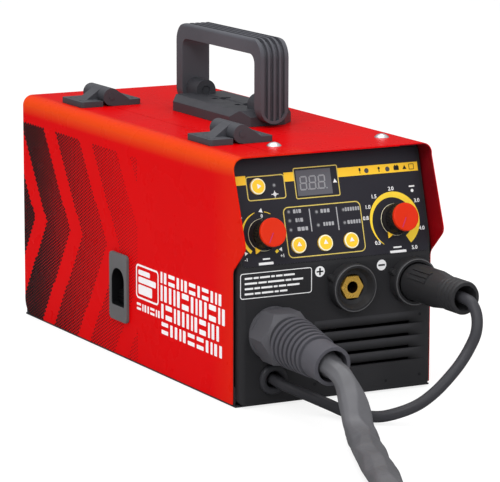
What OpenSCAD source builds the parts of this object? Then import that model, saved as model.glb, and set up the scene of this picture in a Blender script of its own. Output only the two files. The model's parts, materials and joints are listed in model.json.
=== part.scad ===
// Wire-feed arc welding machine with a side door, a folding handle and a
// fixed torch. X to the right seen from the front, Y to the rear, Z up.
// The origin is the middle of the underside of the base tray.

/* [Case] */
// Width across the painted sheets
case_w = 180; // [176:1:220]
// Depth of the painted sheets
case_d = 400; // [390:1:480]
// Height of the case above the bench
case_h = 198; // [194:1:230]
// Thickness of every sheet-metal piece
sheet_t = 1.2; // [0.8:0.1:1.6]
// Outside radius of the bend between side and top
bend_r = 9; // [5:0.5:12]
// Distance of the door's seam from the middle plane
seam_x = 50; // [46:1:54]
// Gap between nested or meeting sheets
sheet_gap = 0.4; // [0.3:0.1:0.6]
// Gap between the bench and the lower edges of door and cover
skirt_gap = 2; // [1:0.5:4]
// Radius of the door's lower rear corner
door_corner_r = 13; // [6:1:18]

/* [Side wings] */
// Reach of a wing ahead of the sheet's front edge
wing_reach = 21; // [12:1:24]
// Height of a wing's foremost corner
wing_nose_z = 129; // [124:1:136]
// Height of a wing's lower end
wing_foot_z = 109; // [104:1:112]
// Height of a wing's upper end
wing_top_z = 188; // [182:1:188]
// Radius of a wing's foremost corner
wing_r = 7; // [4:1:10]

/* [Front moulding] */
// Wall of both black mouldings
wall = 3; // [2.5:0.5:3.5]
// How far the front moulding stands ahead of the sheets
proud = 7; // [5:0.5:9]
// Depth of each moulding's rim behind the sheets' edge
rim_depth = 50; // [44:1:54]
// Radius of the mouldings' upright edges
edge_r = 5.5; // [4:0.5:6]
// Height at which the control face starts to lean back
lean_z = 108; // [104:1:112]
// Angle of the control face from the upright
lean = 16; // [12:1:18]
// Thickness of the printed overlay
overlay_t = 0.5; // [0.3:0.1:0.8]
// Height of one vent slot
vent_h = 2.2; // [1.6:0.2:3]
// Rise from one vent slot to the next
vent_step = 10; // [8:0.5:11]

/* [Controls] */
// Radius of a knob's skirt
knob_r = 12.6; // [11:0.2:13]
// Radius of a knob's red cap
cap_r = 11.4; // [10:0.2:12]
// Height of a knob with its cap
knob_h = 19.5; // [16:0.5:22]
// Thickness of a knob's red cap
cap_t = 2.6; // [2:0.2:4]
// Radius of a push button
button_r = 6.4; // [5.5:0.1:6.8]
// Travel of a push button
button_travel = 0.8; // [0.5:0.1:1]
// Width of the display window
window_w = 31; // [28:0.5:32]
// Height of the display window along the slope
window_h = 19; // [16:0.5:20]
// Length of the pillars that carry the control board
pillar_h = 9; // [8:0.5:12]

/* [Sockets and lead] */
// Radius of a panel socket's flange
socket_r = 19.4; // [18:0.2:20]
// How far a socket's flange stands out
socket_h = 10; // [8:0.5:12]
// Radius of the hole in a socket's brass insert
socket_bore_r = 4.6; // [4.5:0.05:4.8]
// Height of both sockets
socket_z = 89; // [86:1:90]
// Position of the positive socket across the panel
plus_x = 11; // [8:1:14]
// Position of the negative socket across the panel
minus_x = 67; // [64:1:67]
// Radius of the plug's boot
boot_r = 15; // [13:0.5:16]
// Distance from the panel's face to the boot's open end
boot_reach = 83; // [78:1:88]
// Diameter of the polarity lead
lead_d = 9; // [8:0.5:10]
// Height of the grommet's middle
grommet_z = 21; // [20:1:24]
// Outside radius of the grommet
grommet_r = 12.2; // [11.5:0.1:13]

/* [Torch outlet] */
// Position of gland and grommet across the panel, from the middle
gland_x = 58; // [56:1:60]
// Height of the gland's axis, which is the wire's line
gland_z = 58; // [56:1:60]
// Length of the gland nut
gland_len = 29; // [26:1:32]
// Radius across the corners of the gland nut
gland_r = 23.5; // [21:0.5:25]
// Length of the strain relief
relief_len = 72; // [68:1:76]
// Outside radius of the strain relief's mouth
mouth_r = 15.5; // [15:0.1:16.5]
// Droop of the strain relief
droop = 6; // [4:0.5:8]
// Ribs along the strain relief
rib_count = 7; // [5:1:9]
// Diameter of the sleeved torch cable
cable_d = 22; // [20:0.5:22.5]

/* [Hinges and latch] */
// Height of the hinge pins above the case
pin_rise = 8; // [8:0.5:9]
// Radius of a hinge knuckle
knuckle_r = 7.6; // [6.5:0.1:7.6]
// Length of a hinge along its pin
hinge_len = 42; // [36:2:48]
// Reach of a hinge leaf from the pin
leaf_reach = 28.5; // [26:0.5:30]
// Thickness of a hinge leaf
leaf_t = 5; // [4:0.5:5]
// Radius of a hinge pin
hinge_pin_r = 2.5; // [2:0.1:3]
// Middle of the front hinge along the case
front_hinge_y = -119; // [-125:1:-112]
// Middle of the rear hinge along the case
rear_hinge_y = 122; // [116:1:130]
// Width of the latch bezel
bezel_w = 33; // [32:1:36]
// Height of the latch bezel
bezel_h = 57.5; // [54:0.5:62]
// Width of the latch's finger well
well_w = 24; // [22:1:25]
// Height of the latch's finger well
well_h = 32; // [30:1:34]
// Depth of the finger well behind the door's face
well_depth = 10; // [9:0.5:11]
// Travel of the latch slide
latch_travel = 8; // [6:0.5:9]

/* [Handle] */
// Length of the handle over both legs
grip_len = 154; // [146:1:160]
// Width of the handle
grip_w = 26; // [24:1:28]
// Thickness of a leg, along the case
leg_t = 11.5; // [10:0.5:13]
// Thickness of the grip bar
bar_t = 13; // [11:0.5:15]
// Height of the handle's top above the case
grip_rise = 73; // [70:1:80]
// Height of the handle's pivot above the case
pivot_rise = 16; // [16:0.5:18]
// Middle of the handle across the case
grip_x = 14.5; // [12:0.5:18]
// Middle of the handle along the case
grip_y = 2; // [-2:1:6]
// Radius of a handle pivot pin
pivot_pin_r = 4; // [3:0.5:4.5]
// Width of the handle's base
base_w = 58; // [54:1:60]
// Height of the handle's base
base_h = 13; // [11:0.5:13]

/* [Inside] */
// Position of the partition, to the left of the middle plane
partition_x = 22; // [20:1:24]
// Radius of the wire reel
reel_r = 50; // [44:1:51]
// Width of the wire reel
reel_w = 45; // [42:1:46]
// Radius of the reel's spindle
spindle_r = 7.9; // [6:0.1:8]
// Radius of the driven feed roll
drive_roll_r = 15; // [14:0.5:15]
// Radius of the pressing feed roll
press_roll_r = 10; // [9:0.5:11]
// Diameter of the wire
wire_d = 1; // [0.8:0.1:1.2]
// Side of the square fan frame
fan_w = 92; // [88:1:94]
// Radius of the hole in the mains inlet gland
mains_r = 4.5; // [4:0.1:5]

/* [Torch] */
// Length of the torch handle
torch_len = 135; // [120:1:150]
// Radius of the torch handle
torch_r = 17; // [15:0.5:17.5]
// Radius of the torch nozzle
nozzle_r = 10; // [8.5:0.5:11]
// Mean radius of the outer end of the coil
coil_r = 147; // [140:1:150]

/* [Hidden] */

$fn = 48;
gap = 0.3;
running = 0.05;
bite = 0.01;

half_w = case_w / 2;
front_y = -case_d / 2 - proud;
rear_y = case_d / 2 + proud;
rim_y = case_d / 2 - rim_depth;
tray_half = half_w - sheet_t - sheet_gap;
panel_half = tray_half - sheet_t - gap;
panel_foot = sheet_t + gap;
panel_top = case_h - sheet_t - gap;
slope_len = (panel_top - lean_z) / cos(lean);
flange_h = 16;

// Where the rollers, the reel and the board stand
board_drop = wall + pillar_h;
reel_y = 75;
reel_z = 100;
reel_x = -half_w + 34.5;
spindle_flange = -partition_x - reel_x - reel_w / 2 - 1;
feed_y = -118;
drive_z = gland_z - wire_d / 2 - drive_roll_r;
press_z = gland_z + wire_d / 2 + press_roll_r;

// The lead from the grommet to the plug's boot
lead_points = [[-58, -184, 21], [-58, -209, 21], [-56, -222, 19], [-49, -234, 15.5],
    [-42, -246, 12], [-34, -257, 8], [-29, -273, 5.5], [-22, -288, 5], [-13, -300, 6],
    [0, -309, 10.5], [13, -313, 16], [26, -314, 24], [38, -313, 33], [49, -312, 43],
    [58, -311, 54], [64, -311, 66], [67, -307, 78], [67, -299, 87], [67, -284, 89],
    [67, -267, 89]];

// The torch cable from the strain relief's mouth towards its coil
cable_points = [[-57, -319, 45], [-58, -334, 31.5], [-62, -349, 17.5], [-67, -365, 12],
    [-77, -387, 11.2], [-95, -430, 11.2], [-118, -487, 11.2], [-143, -547, 11.2]];

// The coil lies flat on the bench in front, past the cable's free stretch
coil_x = -50;
coil_y = -705;
coil_start = 155.7;
coil_end = 1080;
coil_rise = 75;
coil_pitch = cable_d + 0.8;
coil_rings = 24;
lie_z = cable_d / 2 + 0.2;
torch_z = lie_z + cable_d / 2 + gap + torch_r;

// Places on the control face, as [x, z]
buttons = [[-62.7, 171.8], [-33.1, 124.9], [-9.3, 124.7], [14.3, 124.7]];
knobs = [[-63.5, 135.2], [56.5, 137.5]];
window_x = -11.7;
window_z = 171.7;
window_t = 1.5;
pillar_x = [-78, 36];
pillar_z = [150, 186];
board_t = 1.6;
spigot_r = 5;
pot_r = 8;
pointer_angle = 240;

// Vents and openings
vent_x = 29.5;
vent_z = 23.5;
vent_w = 103;
vent_recess = 2.2;
vent_fall = vent_step - 2;
vent_fade = 14;
fan_side = 4.9;
fan_x = panel_half - wall - fan_w / 2 - fan_side;
fan_z = 100;
fan_t = 25;
fan_bore_r = fan_w / 2 - 3;
switch_z = 150;
switch_w = 21;
switch_h = 28;
switch_depth = 22;
mains_z = 40;
mains_shank_r = 8;

// Sockets, gland and grommet
shank_r = 14.5;
shank_len = 26;
hex_flat = 17.5;
insert_r = 8;
nut_t = 6;
gland_shank_r = 14;
gland_bore_r = 15.4;
grommet_neck_r = 8.6;
grommet_bore_r = 6.5;
lug_y = lead_points[0][1];

flange_t = 1.2;
pin_r = 4.5;
relief_seat = gland_len - 7;
relief_pivot = relief_seat + 1.8;
relief_ribs = [10, 50];
cable_seat = relief_len - 24;
mouth_bore_r = cable_d / 2 + 1.4;

// Screws
screw_r = 2.1;
dome_r = 6.2;
dome_h = 3;
top_screw_x = [-31.6, 67.3];
top_screw_y = 2 - rim_y - 11;
side_screw_y = [-120, 0, 120];

// Latch on the door
latch_y = 1.6;
latch_z = 60.5;
cup_t = 1.5;
bezel_t = 3;

// Handle
pivot_z = case_h + pivot_rise;
boss_r = 9.4;
boss_len = 18.7;
base_len = grip_len - 2 * leg_t - 2 * 0.5;
slot_y = [-21.5, 20.5];

// Feed unit
motor_r = 18;
box_w = 26;
shaft_r = 4;
stud_r = 3;
arm_t = 3.4;
arm_y = feed_y + 28;
arm_z = press_z + 11;
screw_y = feed_y - 25;
roll_w = 10;
knob_collar = 3;

// Torch
trigger_len = 34;
trigger_x = 11;
trigger_z = 96;
neck_r = 6.5;
neck_bend_r = 45;
neck_angle = 50;
nozzle_len = 52;

// Details of hinges, handle and screws
middle_knuckle = 16;
groove_step = 5.2;
groove_w = 3.4;
groove_depth = 3;
groove_rim = 2.5;
pin_cover = groove_depth + 1;
dome_ball = (dome_r * dome_r + dome_h * dome_h) / (2 * dome_h);

// Rear switch, power board and feed
rocker_z = -3;
board_x = -8;
board_y = -72;
board_w = 84;
board_l = 180;
sink_w = 30;
sink_h = 50;
sink_l = board_l / 2;
fin_t = 2;
core_w = 54;
core_d = 34;
board_z = 14;
board_top = board_z + board_t;
guide_r = 4;

function lerp(a, b, t) = a + (b - a) * t;
function unit(v) = v / norm(v);
function arc(c, r, from, to, n = 6) =
    [for (i = [0 : n]) c + r * [cos(lerp(from, to, i / n)), sin(lerp(from, to, i / n))]];

// The rounded corner at b between a and c, and an outline of [x, y, radius] points
function corner(a, b, c, r, n) = let (u = unit(a - b), v = unit(c - b), half = acos(u * v) / 2,
    m = b + unit(u + v) * r / sin(half), p = b + u * r / tan(half) - m, q = b + v * r / tan(half) - m,
    s = atan2(p[1], p[0]), e = atan2(q[1], q[0]))
    arc(m, r, s, e - s > 180 ? e - 360 : e - s < -180 ? e + 360 : e, n);
function outline(pts, n = 6) = [for (i = [0 : len(pts) - 1])
    let (p = pts[i], a = pts[(i + len(pts) - 1) % len(pts)], c = pts[(i + 1) % len(pts)])
    each (p[2] > 0 ? corner([a[0], a[1]], [p[0], p[1]], [c[0], c[1]], p[2], n) : [[p[0], p[1]]])];

// A rounded rectangle's outline about its middle
function round_rect(w, h, r, n = 6) = concat(
    arc([w / 2 - r, h / 2 - r], r, 0, 90, n), arc([r - w / 2, h / 2 - r], r, 90, 180, n),
    arc([r - w / 2, r - h / 2], r, 180, 270, n), arc([w / 2 - r, r - h / 2], r, 270, 360, n));

// Points between hand-set points, on a smooth curve through them
function between(a, b, c, d, t) = 0.5 * ((2 * b) + (c - a) * t
    + (2 * a - 5 * b + 4 * c - d) * t * t + (3 * b - a - 3 * c + d) * t * t * t);
function smooth(p, steps) = concat([for (i = [0 : len(p) - 2]) for (k = [0 : steps - 1])
    between(p[max(i - 1, 0)], p[i], p[i + 1], p[min(i + 2, len(p) - 1)], k / steps)],
    [p[len(p) - 1]]);
function length_of(p, i = 0) = i >= len(p) - 1 ? 0 : norm(p[i + 1] - p[i]) + length_of(p, i + 1);

// Directions and frames along a path, each frame carried on from the last
function heading(p, i) = unit(p[min(i + 1, len(p) - 1)] - p[max(i - 1, 0)]);
function flatten_to(v, t) = unit(v - (v * t) * t);
function frames(p, v, i = 0) = i >= len(p) ? [] :
    let (s = flatten_to(v, heading(p, i))) concat([s], frames(p, s, i + 1));

// A tube with flat ends swept along a path, with one edge towards up
module sweep(p, r, sides, up = [0, 0, 1]) {
    side = frames(p, up);
    rings = [for (i = [0 : len(p) - 1]) let (t = heading(p, i), u = side[i], w = cross(t, u))
        for (k = [0 : sides - 1]) p[i] + r * (u * cos(360 * k / sides) + w * sin(360 * k / sides))];
    last = (len(p) - 1) * sides;
    walls = [for (i = [0 : len(p) - 2]) for (k = [0 : sides - 1])
        let (a = i * sides + k, b = i * sides + (k + 1) % sides)
        each [[a, a + sides, b], [b, a + sides, b + sides]]];
    start_cap = [for (k = [1 : sides - 2]) [0, k, k + 1]];
    end_cap = [for (k = [1 : sides - 2]) [last, last + k + 1, last + k]];
    polyhedron(points = rings, faces = concat(walls, start_cap, end_cap));
}

// Local frames: Z points out of the surface
module on_face(x, z) translate([x, front_y, z]) rotate([90, 0, 0]) children();
module on_rear(x, z) translate([x, rear_y, z]) rotate([-90, 0, 0]) children();
module on_slope(x, z)
    translate([x, front_y + (z - lean_z) * tan(lean), z]) rotate([90 - lean, 0, 0]) children();
module on_door(y, z) translate([-half_w, y, z]) rotate([90, 0, -90]) children();
module along_x(x, y, z) translate([x, y, z]) rotate([90, 0, 90]) children();

// A tube along local Z
module ring(outer, inner, h) difference() {
    cylinder(r = outer, h = h);
    translate([0, 0, -1]) cylinder(r = inner, h = h + 2);
}

// ---- Sheet-metal case ----

// The side wall's outline in Y and Z, with its wing in front
module side_outline() {
    front = -case_d / 2;
    polygon(outline([[front, skirt_gap, 1], [front, wing_foot_z, 8],
        [front - wing_reach, wing_nose_z, wing_r], [front, wing_top_z, 3],
        [front, case_h - bend_r, 0], [case_d / 2, case_h - bend_r, 0],
        [case_d / 2, skirt_gap, door_corner_r]]));
}

// A side wall, the bend and a top strip of the given width, in one sheet
module bent_sheet(top_w) {
    along_x(-half_w, 0, 0) linear_extrude(sheet_t) side_outline();
    section = concat(arc([bend_r - half_w, case_h - bend_r], bend_r, 180, 90, 10),
        [[top_w - half_w, case_h], [top_w - half_w, case_h - sheet_t]],
        arc([bend_r - half_w, case_h - bend_r], bend_r - sheet_t, 90, 180, 10));
    translate([0, case_d / 2, 0]) rotate([90, 0, 0]) linear_extrude(case_d) polygon(section);
}

module side_door() color("firebrick") difference() {
    bent_sheet(half_w - seam_x - sheet_gap / 2);
    on_door(latch_y, latch_z) translate([0, 0, -wall]) linear_extrude(2 * wall)
        polygon(round_rect(well_w + 2 * cup_t + sheet_gap, well_h + 2 * cup_t + sheet_gap, 3));
}

module top_cover() color("firebrick") difference() {
    mirror([1, 0, 0]) bent_sheet(half_w + seam_x - sheet_gap / 2);
    for (x = top_screw_x) translate([x, top_screw_y, case_h - wall])
        cylinder(r = screw_r + running, h = 2 * wall);
    for (y = side_screw_y) along_x(half_w - wall, y, flange_h / 2)
        cylinder(r = screw_r + running, h = 2 * wall);
}

module base_tray() color("dimgray") {
    translate([-tray_half, 5 - case_d / 2 - proud, 0]) cube([2 * tray_half, case_d + 2 * proud - 10, sheet_t]);
    difference() {
        for (x = [-tray_half, tray_half - sheet_t])
            translate([x, gap - case_d / 2, 0]) cube([sheet_t, case_d - 2 * gap, flange_h]);
        for (y = side_screw_y) along_x(tray_half - 2 * sheet_t, y, flange_h / 2)
            cylinder(r = screw_r + running, h = 4 * sheet_t);
    }
}

module partition() color("dimgray") difference() {
    union() {
        translate([-partition_x, gap - rim_y, sheet_t]) cube([sheet_t, 2 * (rim_y - gap), case_h - 2 * sheet_t]);
        translate([-partition_x, gap - rim_y, sheet_t]) cube([flange_h, 2 * (rim_y - gap), sheet_t]);
        translate([2 - seam_x, gap - rim_y, case_h - 2 * sheet_t])
            cube([seam_x - partition_x - 2 + sheet_t, 2 * (rim_y - gap), sheet_t]);
    }
    along_x(-partition_x - 1, feed_y, drive_z) cylinder(r = motor_r + gap, h = sheet_t + 2);
    along_x(-partition_x - 1, reel_y, reel_z) cylinder(r = spindle_r + gap, h = sheet_t + 2);
}

// ---- Front and rear mouldings ----

// A moulding's side profile in Y and Z, drawn in by an inset, with the control face
function front_profile(i) = let (c = front_y + i, t = tan(lean), s = i / cos(lean),
    low = lean_z + (i - s) / t, high = panel_top - i)
    [[c, panel_foot + i], [c, low], [front_y + s + (high - lean_z) * t, high],
    [i > 0 ? 1 - rim_y : -rim_y, high], [i > 0 ? 1 - rim_y : -rim_y, panel_foot + i]];

// What both mouldings keep: rounded upright edges and corners that follow the sheets' bends
module moulding_envelope() intersection() {
    linear_extrude(case_h) polygon(outline([[-panel_half, 0, 0], [-panel_half, front_y, edge_r],
        [panel_half, front_y, edge_r], [panel_half, 0, 0]]));
    translate([0, 0, panel_foot]) rotate([90, 0, 0]) linear_extrude(case_d)
        polygon(outline([[-panel_half, 0, edge_r], [panel_half, 0, edge_r],
            [panel_half, panel_top - panel_foot, bend_r - sheet_t],
            [-panel_half, panel_top - panel_foot, bend_r - sheet_t]]));
}

// One louvre's hollow: a fall towards the slot at its lower edge, which runs out at the right end
module louvre() {
    ends = [[-vent_w / 2, vent_recess], [vent_w / 2 - vent_fade, vent_recess], [vent_w / 2, bite]];
    polyhedron(points = [for (e = ends) each [[e[0], 0, -e[1]], [e[0], vent_fall, 0],
        [e[0], vent_fall, 1], [e[0], 0, 1]]],
        faces = concat([[0, 1, 2], [0, 2, 3], [8, 10, 9], [8, 11, 10]],
            [for (i = [0, 1], k = [0 : 3]) let (a = 4 * i + k, b = 4 * i + (k + 1) % 4)
                each [[a, a + 4, b], [b, a + 4, b + 4]]]));
}

module front_shell() difference() {
    intersection() {
        translate([-panel_half, 0, 0]) rotate([90, 0, 90]) linear_extrude(2 * panel_half)
            polygon(front_profile(0));
        moulding_envelope();
    }
    translate([wall - panel_half, 0, 0]) rotate([90, 0, 90]) linear_extrude(2 * (panel_half - wall))
        polygon(front_profile(wall));
}

module front_panel() color([0.12, 0.12, 0.13]) difference() {
    union() {
        front_shell();
        for (x = pillar_x, z = pillar_z) on_slope(x, z) translate([0, 0, -board_drop])
            cylinder(r = 3.5, h = pillar_h + 1);
    }
    for (x = [plus_x, minus_x]) on_face(x, socket_z) translate([0, 0, -2 * wall])
        cylinder(r = shank_r + running, h = 3 * wall);
    on_face(-gland_x, gland_z) translate([0, 0, -2 * wall]) cylinder(r = gland_shank_r + running, h = 3 * wall);
    on_face(-gland_x, grommet_z) translate([0, 0, -2 * wall]) cylinder(r = grommet_neck_r + running, h = 3 * wall);
    for (b = buttons) on_slope(b[0], b[1]) translate([0, 0, -2 * wall])
        cylinder(r = button_r + gap, h = 3 * wall);
    for (k = knobs) on_slope(k[0], k[1]) translate([0, 0, -2 * wall]) cylinder(r = spigot_r + gap, h = 3 * wall);
    on_slope(window_x, window_z) {
        translate([0, 0, window_t / 2 - window_t]) cube([window_w, window_h, window_t], center = true);
        translate([0, 0, -wall]) cube([window_w - 4, window_h - 4, 3 * wall], center = true);
    }
    for (i = [0 : 3]) on_face(vent_x, vent_z + i * vent_step) {
        louvre();
        translate([2 - vent_w / 2, 0, -2 * wall]) cube([vent_w - vent_fade - 2, vent_h, 3 * wall]);
    }
    for (x = top_screw_x) translate([x, top_screw_y, case_h - 3 * wall])
        cylinder(r = screw_r + running, h = 3 * wall);
}

module rear_panel() color([0.12, 0.12, 0.13]) difference() {
    intersection() {
        difference() {
            translate([-panel_half, rim_y, panel_foot])
                cube([2 * panel_half, rear_y - rim_y, panel_top - panel_foot]);
            translate([wall - panel_half, rim_y - 1, panel_foot + wall])
                cube([2 * (panel_half - wall), rear_y - rim_y - wall + 1, panel_top - panel_foot - 2 * wall]);
        }
        mirror([0, 1, 0]) moulding_envelope();
    }
    on_rear(fan_x, fan_z) translate([0, 0, -2 * wall]) cylinder(r = fan_bore_r, h = 3 * wall);
    on_rear(-gland_x, mains_z) translate([0, 0, -2 * wall]) cylinder(r = mains_shank_r + running, h = 3 * wall);
    on_rear(-gland_x, switch_z) cube([switch_w + sheet_gap, switch_h + sheet_gap, 4 * wall], center = true);
}

module control_overlay() color([0.1, 0.1, 0.11]) on_slope(0, lean_z) difference() {
    translate([0, slope_len / 2, 0]) linear_extrude(overlay_t)
        polygon(round_rect(2 * (panel_half - wall), slope_len - 8, 3));
    for (b = concat(buttons, [for (k = knobs) [k[0], k[1]]]))
        translate([b[0], (b[1] - lean_z) / cos(lean), -1]) cylinder(r = button_r + gap, h = 2 + overlay_t);
    translate([window_x, (window_z - lean_z) / cos(lean), 0]) cube([window_w, window_h, 4], center = true);
}

// ---- Controls ----

module display_window() color([0.35, 0.36, 0.37]) on_slope(window_x, window_z)
    translate([0, 0, -window_t / 2])
        cube([window_w - gap, window_h - gap, window_t], center = true);

// The board with its button switches, display block and potentiometers
module control_board() color("darkgreen") on_slope(0, lean_z) {
    z_at = function (z) (z - lean_z) / cos(lean);
    low = z_at(min([for (b = buttons) b[1]]) - 12);
    top = z_at(max(pillar_z) + 6);
    left = wall + 1.5 - panel_half;
    translate([left, low, -board_drop - board_t]) cube([knobs[1][0] + 12 - left, top - low, board_t]);
    for (b = buttons) translate([b[0], z_at(b[1]), -board_drop]) {
        translate([-3, -3, 0]) cube([6, 6, 3]);
        cylinder(r = 1.7, h = pillar_h - 2 * gap - flange_t - button_travel);
    }
    for (k = knobs) translate([k[0], z_at(k[1]), -board_drop]) ring(pot_r, spigot_r + running, pillar_h - 1);
    translate([window_x, z_at(window_z), -board_drop + 3]) cube([window_w - 5, window_h - 5, 6], center = true);
}

module push_button(i) color([0.93, 0.72, 0.12]) on_slope(buttons[i][0], buttons[i][1])
    rotate_extrude() polygon([[0, -wall - gap - flange_t], [button_r + 1, -wall - gap - flange_t],
        [button_r + 1, -wall - gap], [button_r, -wall - gap], [button_r, 1.6], [button_r - 0.8, 2.2],
        [button_r - 2, 2.4], [0, 2.4]]);

// A knob's black body with its spigot and its pointer
module knob_body(i) color([0.08, 0.08, 0.08]) on_slope(knobs[i][0], knobs[i][1]) {
    rotate_extrude() polygon([[0, 1 - board_drop], [spigot_r, 1 - board_drop], [spigot_r, 1],
        [knob_r, 1], [knob_r, 3.5], [cap_r, 5], [cap_r - 0.4, knob_h - cap_t], [0, knob_h - cap_t]]);
    rotate([0, 0, pointer_angle]) translate([0, 0, 1]) linear_extrude(2)
        polygon([[knob_r - 1, -3.4], [knob_r + 3.6, 0], [knob_r - 1, 3.4]]);
}

module knob_cap(i) color([0.85, 0.2, 0.05]) on_slope(knobs[i][0], knobs[i][1])
    translate([0, 0, knob_h - cap_t]) rotate_extrude()
        polygon(concat([[0, 0], [cap_r, 0]], arc([cap_r - 1.2, cap_t - 1.2], 1.2, 0, 90, 4), [[0, cap_t]]));

// ---- Sockets, plug and lead ----

module socket_shell(x) {
    on_face(x, socket_z) rotate_extrude() polygon([[hex_flat * 0.6, -wall], [insert_r + running, -wall],
        [insert_r + running, -shank_len], [shank_r, -shank_len], [shank_r, 0], [socket_r, 0],
        [socket_r, socket_h - 1], [socket_r - 1, socket_h], [socket_r - 3, socket_h],
        [shank_r - 1, socket_h / 2], [hex_flat * 0.6, socket_h / 2 - 1]]);
    on_face(x, socket_z) rotate([0, 0, 154]) translate([socket_r + 0.6, 0, 0]) cylinder(r = 2.5, h = socket_h - 3);
}

module panel_sockets() color([0.1, 0.1, 0.1]) {
    socket_shell(plus_x);
    socket_shell(minus_x);
}

module socket_inserts() color("goldenrod") for (x = [plus_x, minus_x]) on_face(x, socket_z) difference() {
    union() {
        translate([0, 0, -wall]) cylinder(r = hex_flat / sqrt(3), h = wall + 4.5, $fn = 6);
        translate([0, 0, -shank_len - 14]) cylinder(r = insert_r, h = shank_len + 14);
    }
    translate([0, 0, -shank_len]) cylinder(r = socket_bore_r, h = shank_len + 5);
}

module panel_nuts() color("silver") {
    for (x = [plus_x, minus_x]) on_face(x, socket_z) translate([0, 0, -wall - nut_t]) difference() {
        rotate([0, 0, 30]) cylinder(r = shank_r + 4.4, h = nut_t, $fn = 6);
        translate([0, 0, -1]) cylinder(r = shank_r + running, h = nut_t + 2);
    }
    on_face(-gland_x, gland_z) translate([0, 0, -wall - nut_t]) difference() {
        cylinder(r = gland_shank_r + 5, h = nut_t, $fn = 6);
        translate([0, 0, -1]) cylinder(r = gland_shank_r + running, h = nut_t + 2);
    }
}

// The plug's soft boot, open at its end where the lead goes in
module lead_plug() color([0.07, 0.07, 0.07]) on_face(minus_x, socket_z) {
    base = socket_h / 2 + gap;
    seat = front_y - lead_points[len(lead_points) - 1][1];
    difference() {
        rotate_extrude() polygon([[0, base], [shank_r - 2, base], [shank_r - 2, socket_h + gap],
            [boot_r, socket_h + gap], [boot_r, boot_reach / 2], [boot_r - 2.2, boot_reach - 24],
            for (i = [0 : 3]) each [[boot_r - 3, boot_reach - 22 + 5.5 * i], [boot_r - 1.6, boot_reach - 20.5 + 5.5 * i],
                [boot_r - 1.6, boot_reach - 18.5 + 5.5 * i]],
            [boot_r - 2.5, boot_reach], [boot_r - 5, boot_reach], [lead_d / 2 + 1.2, seat],
            [0, seat]]);
        translate([0, 0, -1]) cylinder(r = pin_r - 0.01, h = base + 9);
    }
    for (a = [120, 135, 150]) rotate([0, 0, a]) translate([boot_r - 1.5, -1.5, 18]) cube([2.3, 3, 26]);
}

module plug_pin() color("goldenrod") on_face(minus_x, socket_z) translate([0, 0, 3 - shank_len])
    cylinder(r = pin_r - 0.01, h = shank_len - 3 + socket_h / 2 + gap + 8);

module lead_grommet() color([0.16, 0.16, 0.17]) on_face(-gland_x, grommet_z) rotate_extrude()
    polygon(concat(arc([(grommet_r + grommet_bore_r) / 2, 1.2], (grommet_r - grommet_bore_r) / 2, 0, 180, 8),
        [[grommet_bore_r, -wall - 2], [grommet_r - 1, -wall - 2], [grommet_r - 1, -wall],
        [grommet_neck_r, -wall], [grommet_neck_r, 0], [grommet_r, 0]]));

module polarity_lead() color([0.07, 0.07, 0.07]) sweep(smooth(lead_points, 2), lead_d / 2, 10);

// The crimped lug at the lead's inner end, on its insulating post
module lead_lug() {
    translate([-gland_x, lug_y, grommet_z]) rotate([-90, 0, 0]) {
        color("peru") cylinder(r = lead_d / 2 + 1.2, h = 16);
        color("peru") translate([-6, -1.5, 16 - bite]) cube([12, 3, 20]);
        color("tan") translate([0, 1.5, 26]) rotate([-90, 0, 0]) cylinder(r = 6, h = grommet_z - 1.5 - panel_foot - wall);
    }
}

// ---- Torch outlet ----

module gland_nut() color([0.33, 0.33, 0.35]) on_face(-gland_x, gland_z) difference() {
    union() {
        translate([0, 0, -wall - nut_t - 6]) cylinder(r = gland_shank_r, h = wall + nut_t + 7);
        cylinder(r = gland_r - 2, h = 4);
        intersection() {
            translate([0, 0, 3]) cylinder(r = gland_r, h = gland_len - 3, $fn = 6);
            rotate_extrude() polygon([[0, 3], [gland_r - 1.5, 3], [gland_r, 5], [gland_r, gland_len - 6],
                [gland_r - 5, gland_len], [0, gland_len]]);
        }
    }
    translate([0, 0, relief_seat]) cylinder(r = gland_bore_r, h = gland_len);
    translate([0, 0, -40]) cylinder(r = gland_shank_r - 3, h = 100);
}

// The bending sleeve: ribs that shrink towards a plain open mouth
module strain_relief() color([0.36, 0.36, 0.39]) on_relief() rotate_extrude()
    polygon(concat([[cable_d / 2 - 3, 0], [gland_bore_r - 1, 0], [gland_bore_r - 1, relief_ribs[0]]],
        [for (i = [0 : rib_count - 1]) let (a = lerp(relief_ribs[0], relief_ribs[1], i / rib_count),
            b = lerp(relief_ribs[0], relief_ribs[1], (i + 0.62) / rib_count), k = i / rib_count,
            r = lerp(gland_r - 3, mouth_r + 1, k)) each [[r, a], [r, b], [r - 2.6, b], [r - 2.6,
                lerp(relief_ribs[0], relief_ribs[1], (i + 1) / rib_count)]]],
        [[mouth_r, relief_ribs[1]], [mouth_r, relief_len], [mouth_bore_r, relief_len],
        [mouth_bore_r, cable_seat], [cable_d / 2 - 3, cable_seat]]));

// The strain relief's own frame, and a point on its axis
module on_relief() on_face(-gland_x, gland_z) translate([0, 0, relief_pivot]) rotate([droop, 0, 0]) children();
function relief_point(t) = [-gland_x, front_y - relief_pivot - t * cos(droop), gland_z - t * sin(droop)];

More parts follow.
